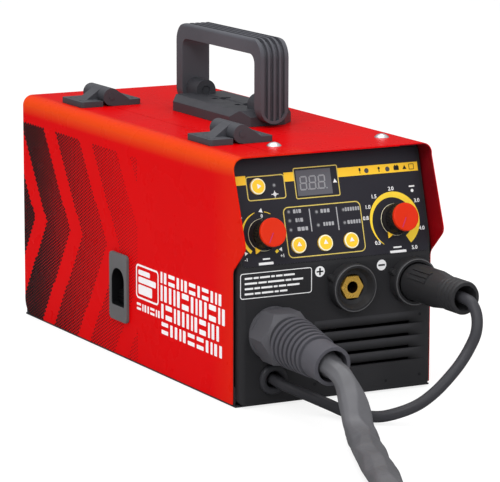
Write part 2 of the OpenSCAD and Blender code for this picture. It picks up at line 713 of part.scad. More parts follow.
// The coil's centre line: a flat inward spiral whose last part rises to the torch
function coil_radius(a) = coil_r - coil_pitch * (a - coil_start) / 360;
function coil_height(a) = let (k = max(0, (a - coil_end + coil_rise) / coil_rise))
    lerp(lie_z, torch_z, k * k * (3 - 2 * k));
function coil_point(a) = [coil_x + coil_radius(a) * cos(a), coil_y + coil_radius(a) * sin(a), coil_height(a)];
coil_in = coil_point(coil_start) - cable_d * unit(coil_point(coil_start + 1) - coil_point(coil_start));
coil_lead = coil_in - cable_d * unit(coil_point(coil_start) - coil_in);
coil_out = coil_point(coil_end) + [0, cable_d, 0];
coil_steps = round((coil_end - coil_start) * coil_rings / 360);
coil_path = concat([coil_in],
    [for (i = [0 : coil_steps]) coil_point(lerp(coil_start, coil_end, i / coil_steps))], [coil_out]);
cable_path = smooth(concat([for (t = [cable_seat, (cable_seat + relief_len) / 2, relief_len]) relief_point(t)],
    cable_points,
    [coil_lead, coil_in]), 2);

module torch_cable() color([0.38, 0.38, 0.42]) sweep(cable_path, cable_d / 2, 10);
module torch_cable_coil() color([0.38, 0.38, 0.42]) sweep(coil_path, cable_d / 2, 6);

// The torch lies on the coil, its axis along Y
module on_torch() translate([coil_out[0], coil_out[1], torch_z]) rotate([-90, 0, 0]) children();

module torch_handle() color([0.12, 0.12, 0.13]) on_torch() difference() {
    rotate_extrude() polygon([[0, 0], [cable_d / 2 + 1, 0], [cable_d / 2 + 1, -8], [torch_r - 2.5, -8],
        [torch_r - 1, 12], [torch_r, 40], [torch_r - 1, torch_len - 30], [torch_r - 3, torch_len], [0, torch_len]]);
    translate([trigger_x - 4, -6, trigger_z - trigger_len]) cube([20, 12, trigger_len + 5]);
    translate([0, 0, torch_len - 20]) cylinder(r = neck_r + running, h = 21);
    translate([trigger_x, 20, trigger_z]) rotate([90, 0, 0]) cylinder(r = 1.5, h = 40);
}

module torch_trigger() color([0.75, 0.12, 0.08]) on_torch() {
    translate([trigger_x, 0, trigger_z]) rotate([90, 0, 0]) translate([0, 0, -8])
        cylinder(r = 1.5 - running, h = 16);
    difference() {
        translate([trigger_x - 2.5, -5.5, trigger_z - trigger_len + 1]) cube([10, 11, trigger_len + 1]);
        translate([trigger_x + 4, -6, trigger_z - 7]) rotate([0, -20, 0]) cube([20, 12, 20]);
    }
}

neck_path = concat([[0, 0, torch_len - 20]], [for (a = [0 : 10 : neck_angle])
    [neck_bend_r * (1 - cos(a)), 0, torch_len + 15 + neck_bend_r * sin(a)]],
    [[neck_bend_r * (1 - cos(neck_angle)) + 20 * sin(neck_angle), 0,
    torch_len + 15 + neck_bend_r * sin(neck_angle) + 20 * cos(neck_angle)]]);

module torch_neck() color("goldenrod") on_torch() {
    sweep(neck_path, neck_r, 12, [0, 1, 0]);
    on_neck_end() translate([0, 0, 15]) cylinder(r = 2.5, h = 2 + nozzle_len);
}

module on_neck_end() translate([neck_bend_r, 0, torch_len + 15]) rotate([0, neck_angle, 0])
    translate([-neck_bend_r, 0, 0]) children();

module torch_nozzle() color("peru") on_torch() on_neck_end() translate([0, 0, 8]) difference() {
    rotate_extrude() polygon([[0, 0], [nozzle_r, 0], [nozzle_r, nozzle_len - 20], [nozzle_r - 1.5, nozzle_len],
        [0, nozzle_len]]);
    translate([0, 0, -1]) cylinder(r = neck_r + running, h = 13.1);
    translate([0, 0, 12]) cylinder(r = nozzle_r - 2.5, h = nozzle_len);
}

// ---- Hinges, latch and handle ----

// One leaf to the right of its pin: a plate, and a ramp and knuckle for each span
module hinge_leaf(spans, bore) difference() {
    third = hinge_len / 2;
    union() {
        translate([knuckle_r + sheet_gap, -third, 0]) linear_extrude(leaf_t)
            polygon(outline([[0, 0, 0], [leaf_reach - knuckle_r - sheet_gap, 0, 3],
                [leaf_reach - knuckle_r - sheet_gap, hinge_len, 3], [0, hinge_len, 0]]));
        for (s = spans) translate([0, s[1], 0]) rotate([90, 0, 0]) linear_extrude(s[1] - s[0]) {
            translate([0, pin_rise]) circle(r = knuckle_r);
            polygon([[gap, 0], [knuckle_r + 10, 0], [knuckle_r + 10, leaf_t],
                [knuckle_r * cos(50), pin_rise + knuckle_r * sin(50)], [0, pin_rise], [gap, 1]]);
        }
    }
    translate([0, third + 1, pin_rise]) rotate([90, 0, 0]) cylinder(r = bore, h = hinge_len + 2);
    for (y = [-hinge_len / 4, hinge_len / 4]) translate([leaf_reach - 6.5, y, leaf_t - 2])
        cylinder(r1 = 2, r2 = 4.2, h = 2.01);
}

module at_hinges() for (y = [front_hinge_y, rear_hinge_y]) translate([-seam_x, y, case_h]) children();

module hinge_door_leaves() color([0.25, 0.25, 0.26]) at_hinges() mirror([1, 0, 0])
    hinge_leaf([[gap - middle_knuckle / 2, middle_knuckle / 2 - gap]], hinge_pin_r + running);

module hinge_body_leaves() color([0.25, 0.25, 0.26]) at_hinges()
    hinge_leaf([[-hinge_len / 2, -middle_knuckle / 2], [middle_knuckle / 2, hinge_len / 2]], hinge_pin_r);

module hinge_pins() color("silver") at_hinges() translate([0, hinge_len / 2 + 0.5, pin_rise])
    rotate([90, 0, 0]) cylinder(r = hinge_pin_r, h = hinge_len + 1);

// The bezel's rim on the door, and the cup of its finger well behind
module latch_bezel() color([0.2, 0.2, 0.21]) on_door(latch_y, latch_z) difference() {
    union() {
        linear_extrude(bezel_t) polygon(round_rect(bezel_w, bezel_h, 4));
        translate([0, 0, -well_depth - cup_t]) linear_extrude(well_depth + cup_t + 1)
            polygon(round_rect(well_w + 2 * cup_t, well_h + 2 * cup_t, 3));
    }
    translate([0, 0, -well_depth]) linear_extrude(2 * well_depth + 2) polygon(outline(
        [[-well_w / 2, -well_h / 2, 2], [well_w / 2, -well_h / 2, 2], [well_w / 2, well_h / 2, well_w / 2 - 1],
        [-well_w / 2, well_h / 2, well_w / 2 - 1]]));
    translate([-4, -well_h / 2 + 3, -well_depth - 2 * cup_t]) cube([8, 10 + latch_travel, 4 * cup_t]);
}

// The slide's thumb piece, its stem through the cup and its tongue behind the door
module latch_slide() color([0.14, 0.14, 0.15]) on_door(latch_y, latch_z) {
    low = gap - well_h / 2;
    translate([0, low + 6, gap - well_depth]) linear_extrude(5.7) polygon(round_rect(well_w - 2 * gap, 12, 2.5));
    for (k = [0 : 2]) translate([gap - well_w / 2, low + 2.6 + 3.2 * k, 5 - well_depth]) cube([well_w - 2 * gap, 1.5, 2]);
    translate([-3.6, low + 4, -well_depth - cup_t - gap - 1]) cube([7.2, 7, cup_t + 3]);
    translate([-6, flange_h + gap - latch_z, -well_depth - cup_t - gap - 2])
        cube([12, low + 11 - (flange_h + gap - latch_z), 2]);
}

module on_grip() translate([grip_x, grip_y, 0]) children();

module handle_base() color([0.22, 0.22, 0.23]) on_grip() difference() {
    union() {
        intersection() {
            translate([0, 0, case_h]) linear_extrude(base_h) polygon([for (s = [[1, 1], [-1, 1], [-1, -1], [1, -1]])
                each s[0] * s[1] > 0 ? [base_corner(s, 0), base_corner(s, 1)] : [base_corner(s, 1), base_corner(s, 0)]]);
            rotate([90, 0, 0]) translate([0, 0, -base_len / 2]) linear_extrude(base_len)
                polygon(bevelled(base_w / 2));
            rotate([90, 0, 90]) translate([0, 0, -base_w / 2]) linear_extrude(base_w)
                polygon(bevelled(base_len / 2));
        }
        for (y = [boss_len - base_len / 2, base_len / 2]) translate([0, y, 0]) rotate([90, 0, 0]) {
            translate([0, pivot_z, 0]) cylinder(r = boss_r, h = boss_len);
            translate([-boss_r, case_h + 1, 0]) cube([2 * boss_r, pivot_rise - 1, boss_len]);
        }
    }
    translate([0, base_len / 2 + 1, pivot_z]) rotate([90, 0, 0])
        cylinder(r = pivot_pin_r + running, h = base_len + 2);
    for (y = slot_y) translate([-4.5, y - grip_y, case_h - 1]) {
        linear_extrude(base_h + 2) polygon(concat(arc([0, 0], 2.2, 90, 270), arc([9, 0], 2.2, -90, 90)));
        translate([0, 0, base_h - 4]) linear_extrude(9)
            polygon(concat(arc([0, 0], 4.4, 90, 270), arc([9, 0], 4.4, -90, 90)));
    }
}

// The octagon's corner points and the section of a block with a bevelled top
function base_corner(s, k) = [s[0] * (base_w / 2 - (k == 0 ? 0 : 13)), s[1] * (base_len / 2 - (k == 0 ? 13 : 0))];
function bevelled(h) = [[-h, case_h], [h, case_h], [h, case_h + base_h - 5], [h - 6, case_h + base_h],
    [6 - h, case_h + base_h], [-h, case_h + base_h - 5]];

// The loop's outline in Y and Z, drawn in by an inset
function loop_outer(i) = let (h = grip_len / 2 - i, top = case_h + grip_rise - i, low = pivot_z - grip_w / 2)
    outline([[-h, low, 0], [h, low, 0], [h, top, 16 - i], [-h, top, 16 - i]], 8);

module handle_loop() color([0.25, 0.25, 0.27]) on_grip() difference() {
    intersection() {
        rotate([90, 0, 90]) translate([0, 0, -grip_w / 2]) linear_extrude(grip_w) polygon(loop_outer(0));
        rotate([90, 0, 0]) translate([0, 0, -grip_len / 2]) linear_extrude(grip_len) polygon(concat(
            arc([0, pivot_z], grip_w / 2, 180, 360, 12),
            outline([[grip_w / 2, pivot_z, 0], [grip_w / 2, case_h + grip_rise, 3],
            [-grip_w / 2, case_h + grip_rise, 3], [-grip_w / 2, pivot_z, 0]])));
    }
    rotate([90, 0, 90]) translate([0, 0, -grip_w]) linear_extrude(2 * grip_w) polygon(outline([
        [leg_t - grip_len / 2, case_h - 5, 0], [grip_len / 2 - leg_t, case_h - 5, 0],
        [grip_len / 2 - leg_t, case_h + grip_rise - bar_t, 8], [leg_t - grip_len / 2, case_h + grip_rise - bar_t, 8]]));
    intersection() {
        for (k = [-1.5 : 1 : 1.5]) rotate([90, 0, 90]) translate([0, 0, k * groove_step - groove_w / 2])
            linear_extrude(groove_w) difference() {
                translate([-grip_len, case_h]) square([2 * grip_len, 2 * grip_rise]);
                polygon(loop_outer(groove_depth));
            }
        rotate([90, 0, 0]) translate([0, 0, -grip_len]) linear_extrude(2 * grip_len) {
            translate([0, pivot_z]) circle(r = grip_w / 2 - groove_rim);
            translate([groove_rim - grip_w / 2, pivot_z]) square([grip_w - 2 * groove_rim, 2 * grip_rise]);
        }
    }
    translate([0, grip_len / 2 - pin_cover, pivot_z]) rotate([90, 0, 0])
        cylinder(r = pivot_pin_r, h = grip_len - 2 * pin_cover);
}

module handle_pins() color("silver") on_grip() for (s = [-1, 1])
    translate([0, s * (grip_len / 2 - pin_cover), pivot_z]) rotate([90 * s, 0, 0])
        cylinder(r = pivot_pin_r, h = leg_t + boss_len - 0.5 - pin_cover);

module cover_screws() color("silver") {
    for (x = top_screw_x) translate([x, top_screw_y, case_h]) {
        intersection() {
            translate([0, 0, dome_h - dome_ball]) sphere(r = dome_ball);
            cylinder(r = dome_r, h = dome_h);
        }
        translate([0, 0, -8]) cylinder(r = screw_r, h = 8.1);
    }
    for (y = side_screw_y) along_x(half_w, y, flange_h / 2) {
        cylinder(r = 2 * screw_r, h = 2);
        translate([0, 0, -6]) cylinder(r = screw_r, h = 6.1);
    }
}

// ---- Fan, switch and inlet at the rear ----

module fan_frame() color([0.15, 0.15, 0.16]) on_rear(fan_x, fan_z) translate([0, 0, -wall - fan_t]) difference() {
    translate([-fan_w / 2, -fan_w / 2, 0]) cube([fan_w, fan_w, fan_t]);
    translate([0, 0, -1]) cylinder(r = fan_bore_r, h = fan_t - 2);
    translate([0, 0, fan_t - 4]) difference() {
        cylinder(r = fan_bore_r, h = 5);
        for (a = [45 : 90 : 315]) rotate([0, 0, a]) translate([0, -3, 0]) cube([fan_bore_r + 1, 6, 4]);
        cylinder(r = 17, h = 4);
    }
}

module fan_rotor() color([0.2, 0.2, 0.21]) on_rear(fan_x, fan_z) translate([0, 0, -wall - fan_t + 2]) {
    cylinder(r = 18, h = fan_t - 5 - gap);
    for (a = [0 : 360 / 7 : 359]) rotate([0, 0, a]) translate([17, 0, (fan_t - 6) / 2])
        rotate([38, 0, 0]) translate([0, -1, -9]) cube([fan_bore_r - 19, 2, 18]);
}

module fan_guard() color("silver") on_rear(fan_x, fan_z) {
    for (r = [16 : 9 : fan_bore_r]) ring(r, r - 2, 2);
    for (a = [0 : 45 : 135]) rotate([0, 0, a]) translate([-fan_bore_r - 1, -1.2, 0]) cube([2 * fan_bore_r + 2, 2.4, 1.6]);
}

module switch_body() color([0.08, 0.08, 0.08]) on_rear(-gland_x, switch_z) difference() {
    union() {
        translate([-switch_w / 2, -switch_h / 2, -switch_depth]) cube([switch_w, switch_h, switch_depth + 1]);
        translate([-switch_w / 2 - 2, -switch_h / 2 - 2, 0]) cube([switch_w + 4, switch_h + 4, 1.8]);
    }
    translate([-switch_w / 2 + 3, -switch_h / 2 + 3, -8]) cube([switch_w - 6, switch_h - 6, 20]);
    translate([-switch_w / 2 + 1, 0, rocker_z]) rotate([0, 90, 0]) cylinder(r = 1.5 + running, h = switch_w - 2);
}

module power_rocker() color("firebrick") on_rear(-gland_x, switch_z) {
    translate([-switch_w / 2 + 3 + gap, 0, rocker_z]) rotate([90, 0, 90]) linear_extrude(switch_w - 6 - 2 * gap)
        polygon([[-9.8, 4], [-10, 1.5], [-3, -3.4], [3, -3.4], [10.2, -1.2], [10.4, 1.2], [0, 2.4]]);
    translate([-switch_w / 2 + 1.5, 0, rocker_z]) rotate([0, 90, 0]) cylinder(r = 1.5, h = switch_w - 3);
}

module mains_gland() color([0.1, 0.1, 0.1]) on_rear(-gland_x, mains_z) difference() {
    union() {
        translate([0, 0, -wall - 10]) cylinder(r = mains_shank_r, h = wall + 11);
        translate([0, 0, -wall - 5]) cylinder(r = mains_shank_r + 4, h = 5, $fn = 6);
        cylinder(r = mains_shank_r + 4, h = 7, $fn = 6);
        translate([0, 0, 7]) cylinder(r = mains_shank_r + 1, h = 12);
    }
    translate([0, 0, -wall - 11]) cylinder(r = mains_r, h = wall + 31);
}

// ---- Power electronics ----

module power_board() color("darkgreen") {
    translate([board_x, board_y, board_z]) cube([board_w, board_l, board_t]);
    for (x = [board_x + 6, board_x + board_w - 6], y = [board_y + 6, board_y + board_l - 6])
        translate([x, y, sheet_t]) cylinder(r = 4, h = board_z - sheet_t + bite);
}

// Two finned extrusions, each drawn as one comb
module heat_sinks() color("silver") for (x = [board_x + 4, board_x + board_w - 4 - sink_w])
    translate([x, board_y + 10 + sink_l, board_top]) rotate([90, 0, 0]) linear_extrude(sink_l) {
        square([sink_w, 5]);
        for (k = [0 : 5]) translate([(sink_w - fin_t) / 5 * k, 0]) square([fin_t, sink_h]);
    }

module transformer() {
    limb = core_w / 6 + 1;
    translate([board_x + 20, board_y + sink_l + 18, board_top]) {
        color([0.15, 0.15, 0.15]) difference() {
            cube([core_w, core_d, core_w]);
            translate([limb - 1, -1, limb]) cube([core_w - 2 * limb + 2, core_d + 2, core_w - 2 * limb]);
        }
        color("peru") translate([2 * limb, 5, limb - bite]) cube([core_w - 4 * limb, core_d - 10, core_w - 2 * limb + 2 * bite]);
        color("orange") translate([limb, 3, limb + 3]) cube([core_w - 2 * limb, core_d - 6, core_w - 2 * limb - 6]);
    }
}

module capacitors() color([0.15, 0.2, 0.4]) for (k = [0 : 2])
    translate([board_x + 20 + 26 * k, board_y + board_l - 22, board_top]) cylinder(r = 11, h = 42);

// ---- Wire feed ----

module spool_spindle() color([0.15, 0.15, 0.15]) along_x(-partition_x, reel_y, reel_z) rotate([0, 180, 0]) {
    cylinder(r = 20, h = spindle_flange);
    cylinder(r = spindle_r, h = half_w - partition_x - sheet_t - 1.5);
    translate([0, 0, -sheet_t - 5]) cylinder(r = spindle_r, h = sheet_t + 6);
}

module wire_spool() color([0.1, 0.1, 0.1]) along_x(reel_x, reel_y, reel_z) translate([0, 0, -reel_w / 2])
    rotate_extrude() polygon([[spindle_r + 2 * running, 0], [reel_r, 0], [reel_r, 2.5], [reel_r - 7, 2.5],
        [reel_r - 7, reel_w - 2.5], [reel_r, reel_w - 2.5], [reel_r, reel_w], [spindle_r + 2 * running, reel_w]]);

module spool_nut() color([0.1, 0.1, 0.1]) along_x(reel_x - reel_w / 2 - gap, reel_y, reel_z) rotate([0, 180, 0])
    difference() {
        union() {
            cylinder(r = 15, h = 3);
            cylinder(r = 13, h = 7, $fn = 12);
        }
        translate([0, 0, -1]) cylinder(r = spindle_r + running, h = 10);
    }

// The gear case with the pressure arm's stud, the motor behind and the outlet guide in its bracket
module feed_gearmotor() {
    box_x = -partition_x - box_w;
    color([0.5, 0.5, 0.52]) difference() {
        union() {
            translate([box_x, feed_y - 22, 22]) cube([box_w, 60, 72]);
            translate([-gland_x - 6, feed_y - 30, gland_z - 8]) cube([gland_x + 6 + box_x + 1, 8, 16]);
            translate([box_x, feed_y - 30, gland_z - 8]) cube([box_w / 2, 9, 16]);
            along_x(box_x - arm_t - 3, arm_y, arm_z) cylinder(r = shaft_r - running, h = arm_t + 4);
            translate([box_x, feed_y - 22, sheet_t]) cube([box_w, 60, 22]);
        }
        along_x(box_x - 1, feed_y, drive_z) cylinder(r = shaft_r + running, h = 16);
        translate([-gland_x, feed_y - 20, gland_z]) rotate([90, 0, 0]) cylinder(r = guide_r, h = 12);
    }
    color("silver") along_x(-partition_x, feed_y, drive_z) cylinder(r = motor_r, h = 62);
    color("goldenrod") translate([-gland_x, feed_y - 20, gland_z]) rotate([90, 0, 0])
        ring(guide_r, wire_d, feed_y - 20 - front_y - 4);
}

module drive_roll() color("silver") {
    along_x(-gland_x - roll_w / 2, feed_y, drive_z) rotate_extrude() polygon([[0, 0], [drive_roll_r, 0],
        [drive_roll_r, roll_w / 2 - 1], [drive_roll_r - 0.8, roll_w / 2], [drive_roll_r, roll_w / 2 + 1],
        [drive_roll_r, roll_w], [0, roll_w]]);
    along_x(-gland_x, feed_y, drive_z) cylinder(r = shaft_r, h = gland_x - partition_x - box_w + 12);
}

// The arm swings up about its rear stud; its roll presses the wire on the driven roll
module pressure_arm() color([0.2, 0.2, 0.2]) {
    arm_x = -partition_x - box_w - arm_t - gap;
    difference() {
        union() {
            along_x(arm_x, arm_y, arm_z) cylinder(r = 8, h = arm_t);
            along_x(arm_x, feed_y, press_z) cylinder(r = 7, h = arm_t);
            along_x(arm_x, 0, 0) linear_extrude(arm_t) polygon([[arm_y, arm_z + 8], [arm_y - 4, arm_z - 7],
                [feed_y, press_z - 6.5], [screw_y - 7, arm_z - 6], [screw_y - 7, arm_z + 2]]);
            translate([-gland_x - 6, screw_y - 7, arm_z - 6]) cube([gland_x + 6 + arm_x + arm_t, 14, 8]);
            along_x(-gland_x - roll_w / 2 - 2, feed_y, press_z) cylinder(r = stud_r, h = arm_x + gland_x + roll_w / 2 + 3);
        }
        along_x(arm_x - 1, arm_y, arm_z) cylinder(r = shaft_r, h = arm_t + 2);
        translate([-gland_x, screw_y, arm_z - 7]) cylinder(r = 2.5 + running, h = 10);
    }
}

module pressure_roll() color("silver") along_x(-gland_x - roll_w / 2, feed_y, press_z)
    ring(press_roll_r, stud_r + running, roll_w);

module tension_screw() color([0.1, 0.1, 0.1]) translate([-gland_x, screw_y, gland_z + 8 + gap]) {
    cylinder(r = 2.5, h = arm_z - gland_z);
    translate([0, 0, arm_z + 2 - gland_z - 8]) cylinder(r = 4, h = knob_collar + 1);
    translate([0, 0, arm_z + 2 + knob_collar - gland_z - 8]) difference() {
        cylinder(r = 8, h = 12);
        for (a = [0 : 45 : 315]) rotate([0, 0, a]) translate([9, 0, -1]) cylinder(r = 2, h = 20);
    }
}

// The least gap between neighbouring turns of the coil, measured on points
coil_gap = min([for (a = [coil_start : 5 : coil_end - 360]) for (b = [-20 : 5 : 20])
    norm(coil_point(a) - coil_point(min(coil_end, a + 360 + b)))]) - cable_d;
echo(coil_gap = coil_gap, cable_length = length_of(cable_path) + length_of(coil_path), lead_length = length_of(lead_points));

base_tray();
partition();
front_panel();
rear_panel();
top_cover();
side_door();
hinge_door_leaves();
hinge_body_leaves();
hinge_pins();
latch_bezel();
latch_slide();
handle_base();
handle_loop();
handle_pins();
cover_screws();
control_overlay();
display_window();
control_board();
knob_body(0);  // voltage_knob
knob_cap(0);  // voltage_knob_cap
knob_body(1);  // current_knob
knob_cap(1);  // current_knob_cap
push_button(0);  // feed_button
push_button(1);  // left_mode_button
push_button(2);  // middle_mode_button
push_button(3);  // right_mode_button
panel_sockets();
socket_inserts();
panel_nuts();
lead_plug();
plug_pin();
gland_nut();
strain_relief();
lead_grommet();
polarity_lead();
lead_lug();
torch_cable();
torch_cable_coil();
torch_handle();
torch_trigger();
torch_neck();
torch_nozzle();
fan_frame();
fan_rotor();
fan_guard();
switch_body();
power_rocker();
mains_gland();
power_board();
heat_sinks();
transformer();
capacitors();
wire_spool();
spool_spindle();
spool_nut();
feed_gearmotor();
drive_roll();
pressure_arm();
pressure_roll();
tension_screw();
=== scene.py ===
import json
import math

import bpy
from mathutils import Matrix, Vector


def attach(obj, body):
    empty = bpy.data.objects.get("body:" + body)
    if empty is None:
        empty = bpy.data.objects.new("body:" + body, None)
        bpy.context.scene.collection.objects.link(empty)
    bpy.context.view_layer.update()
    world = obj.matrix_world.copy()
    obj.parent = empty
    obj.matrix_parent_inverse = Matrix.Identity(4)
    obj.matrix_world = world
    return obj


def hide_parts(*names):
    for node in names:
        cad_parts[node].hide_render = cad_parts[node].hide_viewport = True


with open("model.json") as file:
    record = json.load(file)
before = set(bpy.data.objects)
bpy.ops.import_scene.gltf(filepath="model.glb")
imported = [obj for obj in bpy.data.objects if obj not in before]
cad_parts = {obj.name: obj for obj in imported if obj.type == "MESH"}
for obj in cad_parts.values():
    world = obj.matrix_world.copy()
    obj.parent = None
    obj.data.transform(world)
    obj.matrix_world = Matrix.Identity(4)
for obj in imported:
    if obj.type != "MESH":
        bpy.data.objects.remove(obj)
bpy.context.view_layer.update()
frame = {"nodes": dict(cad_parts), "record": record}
scene = bpy.context.scene
mm = 0.001

print("camera, floor and light")

camera = {"place": (-1.17797, -2.27406, 0.56999), "azimuth": -28.01, "elevation": 10.57, "roll": 0.11,
          "focalPixels": 3070.6, "imageWidth": 500, "sensor": 36, "clip": 20}


def addCamera(c):
    az, el = math.radians(c["azimuth"]), math.radians(c["elevation"])
    back = Vector((math.sin(az) * math.cos(el), -math.cos(az) * math.cos(el), math.sin(el)))
    right = Vector((math.cos(az), math.sin(az), 0))
    turn = Matrix((right, back.cross(right), back)).transposed().to_4x4()
    bpy.ops.object.camera_add(location=c["place"])
    cam = bpy.context.object
    roll = Matrix.Rotation(math.radians(c["roll"]), 4, "Z")
    cam.matrix_world = Matrix.Translation(c["place"]) @ turn @ roll
    cam.data.sensor_width = c["sensor"]
    cam.data.lens = c["focalPixels"] * c["sensor"] / c["imageWidth"]
    cam.data.clip_end = c["clip"]
    scene.camera = cam


addCamera(camera)
scene.view_settings.view_transform = "Standard"


def maths(operation):
    # a method of Value that adds one maths node
    def step(self, *others):
        return self.shading.node("ShaderNodeMath", {"operation": operation}, dict(enumerate([self, *others])))
    return step


class Value:
    # one socket, so that shader maths is written as plain expressions
    __add__, __sub__, __mul__ = maths("ADD"), maths("SUBTRACT"), maths("MULTIPLY")
    __lt__, __gt__, __abs__ = maths("LESS_THAN"), maths("GREATER_THAN"), maths("ABSOLUTE")
    high, part, whole, root = maths("MAXIMUM"), maths("FRACT"), maths("FLOOR"), maths("SQRT")

    def __init__(self, shading, socket):
        self.shading, self.socket = shading, socket

    def __rsub__(self, other):
        return self.shading.node("ShaderNodeMath", {"operation": "SUBTRACT"}, {0: other, 1: self})

    def ramp(self, low, high, start=0.0, end=1.0):
        sockets = {"Value": self, "From Min": low, "From Max": high, "To Min": start, "To Max": end}
        return self.shading.node("ShaderNodeMapRange", {"clamp": True}, sockets)


class Shading:
    # a node tree and the one way to add nodes to it
    def __init__(self, tree, coords):
        self.tree = tree
        self.coords = self.node("ShaderNodeTexCoord", {}, {}, coords)

    def node(self, kind, settings, sockets, out=0):
        made = self.tree.nodes.new(kind)
        for key, value in settings.items():
            setattr(made, key, value)
        for key, value in sockets.items():
            self.feed(made.inputs[key], value)
        return Value(self, made.outputs[out])

    def feed(self, socket, value):
        if isinstance(value, Value):
            self.tree.links.new(value.socket, socket)
        else:
            socket.default_value = value

    def ray(self, kind):
        return self.node("ShaderNodeLightPath", {}, {}, kind)

    def axes(self):
        return [self.node("ShaderNodeSeparateXYZ", {}, {0: self.coords}, axis) for axis in range(3)]

    def millimetres(self):
        return [axis * (1 / mm) for axis in self.axes()]

    def noise(self, scale, detail=3.0, rough=0.55):
        return self.node("ShaderNodeTexNoise", {}, {"Vector": self.coords, "Scale": scale,
                         "Detail": detail, "Roughness": rough})

    def blend(self, amount, a, b):
        a, b = (c if isinstance(c, Value) else (*c, 1) for c in (a, b))
        return self.node("ShaderNodeMix", {"data_type": "RGBA"}, {"Factor": amount, 6: a, 7: b}, 2)


finishes = {}


class Finish(Shading):
    # a material, kept by its name
    def __init__(self, name, color, rough, metallic=0.0, specular=0.5):
        self.material = bpy.data.materials.new(name)
        self.material.use_nodes = True
        super().__init__(self.material.node_tree, "Object")
        self.shader = self.tree.nodes["Principled BSDF"]
        for key, value in {"Base Color": (*color, 1), "Roughness": rough, "Metallic": metallic,
                           "Specular IOR Level": specular}.items():
            self.set(key, value)
        finishes[name] = self.material

    def set(self, name, value):
        self.feed(self.shader.inputs[name], value)

    def bump(self, height, strength, depth):
        self.set("Normal", self.node("ShaderNodeBump", {}, {"Height": height, "Strength": strength,
                                                            "Distance": depth}))


studio = {"sky": (0.34, 0.86), "brightSide": (-0.76, -0.42, 0.50), "shine": (0.10, 0.95),
          "shineFrom": (0.15, 0.7), "floorSize": 14, "floorZ": -0.0004, "floorColor": (0.9, 0.9, 0.9),
          "floorRough": 0.8, "floorGloss": 0.1, "floorShine": (0.16, 0.16, 0.16), "floorGlow": 0.72,
          "glowStrength": 1.12}
lamps = {"keyLamp": ((-1.6, -1.5, 2.2), (0, 0, 0.1), (1.6, 1.2), 36),
         "frontLamp": ((0.2, -2.2, 1.3), (0, -0.2, 0.1), (1.0, 1.0), 9),
         "topLamp": ((0.1, 0.3, 2.2), (0, 0, 0.1), (1.6, 1.6), 22)}


def studioWorld(s):
    # white to the camera; for light and reflections a sky that falls off to one side and down
    world = bpy.data.worlds.new("studioWorld")
    scene.world = world
    world.use_nodes = True
    w = Shading(world.node_tree, "Generated")
    sides = {0: w.coords, 1: s["brightSide"]}
    across = w.node("ShaderNodeVectorMath", {"operation": "DOT_PRODUCT"}, sides, "Value")
    sky = across.ramp(-1.0, 1.0, *s["sky"])
    shine = w.axes()[2].ramp(*s["shineFrom"], *s["shine"])
    glossy = w.node("ShaderNodeMix", {}, {0: w.ray("Is Glossy Ray"), 2: sky, 3: shine})
    seen = w.ray("Is Camera Ray").high(w.ray("Is Transmission Ray"))
    background = w.tree.nodes["Background"]
    w.feed(background.inputs[0], (1, 1, 1, 1))
    w.feed(background.inputs[1], w.node("ShaderNodeMix", {}, {0: seen, 2: glossy, 3: 1.0}))


def plainFloor(s):
    # a pale floor that keeps a soft shadow and runs out to white
    bpy.ops.mesh.primitive_plane_add(size=s["floorSize"], location=(0, 0, s["floorZ"]))
    floor = bpy.context.object
    floor.name = "studioFloor"
    f = Finish("floorPaper", s["floorColor"], s["floorRough"], specular=s["floorGloss"])
    f.set("Base Color", f.blend(f.ray("Is Glossy Ray"), s["floorColor"], s["floorShine"]))
    glow = f.node("ShaderNodeEmission", {}, {0: (1, 1, 1, 1), 1: s["glowStrength"]})
    share = f.ray("Is Camera Ray") * s["floorGlow"]
    paper = f.node("ShaderNodeMixShader", {}, {0: share, 1: Value(f, f.shader.outputs[0]), 2: glow})
    f.feed(f.tree.nodes["Material Output"].inputs[0], paper)
    floor.data.materials.append(f.material)


def areaLamp(name, place, aim, size, power):
    bpy.ops.object.light_add(type="AREA", location=place)
    light = bpy.context.object
    light.name = name
    light.rotation_euler = (Vector(aim) - Vector(place)).to_track_quat("-Z", "Y").to_euler()
    light.data.shape = "RECTANGLE"
    light.data.size, light.data.size_y = size
    light.data.energy = power


studioWorld(studio)
plainFloor(studio)
for name, row in lamps.items():
    areaLamp(name, *row)

print("the free cords")

cableRoute = {
    "diameter": 22.0, "length": 2.32, "rings": 56, "pointEvery": 4.0,
    "relief": [(-58, -278.5, 53.0), (-58, -302.4, 50.5)],
    "fall": [(-57, -319, 45), (-58, -334, 31.5), (-62, -349, 17.5), (-67, -365, 12), (-77, -387, 11.2),
             (-95, -430, 11.2), (-118, -487, 11.2), (-143, -547, 11.2), (-166.9, -603.9, 11.2),
             (-175.4, -624.2, 11.2)],
    "coilCentre": (-50, -705), "firstRadius": 147.0, "step": 22.8, "startAngle": 155.7, "endAngle": 1080.0,
    "rise": 75.0, "low": 11.2, "high": 39.5, "stepAngle": 15.0}

leadRoute = {
    "diameter": 9.0, "length": 0.291, "rings": 24, "pointEvery": 2.5,
    "points": [(-58, -184, 21), (-58, -209, 21), (-56, -222, 19), (-49, -234, 15.5), (-42, -246, 12),
               (-34, -257, 8), (-29, -273, 5.5), (-22, -288, 5), (-13, -300, 6), (0, -309, 10.5),
               (13, -313, 16), (26, -314, 24), (38, -313, 33), (49, -312, 43), (58, -311, 54), (64, -311, 66),
               (67, -307, 78), (67, -299, 87), (67, -284, 89), (67, -267, 89)]}

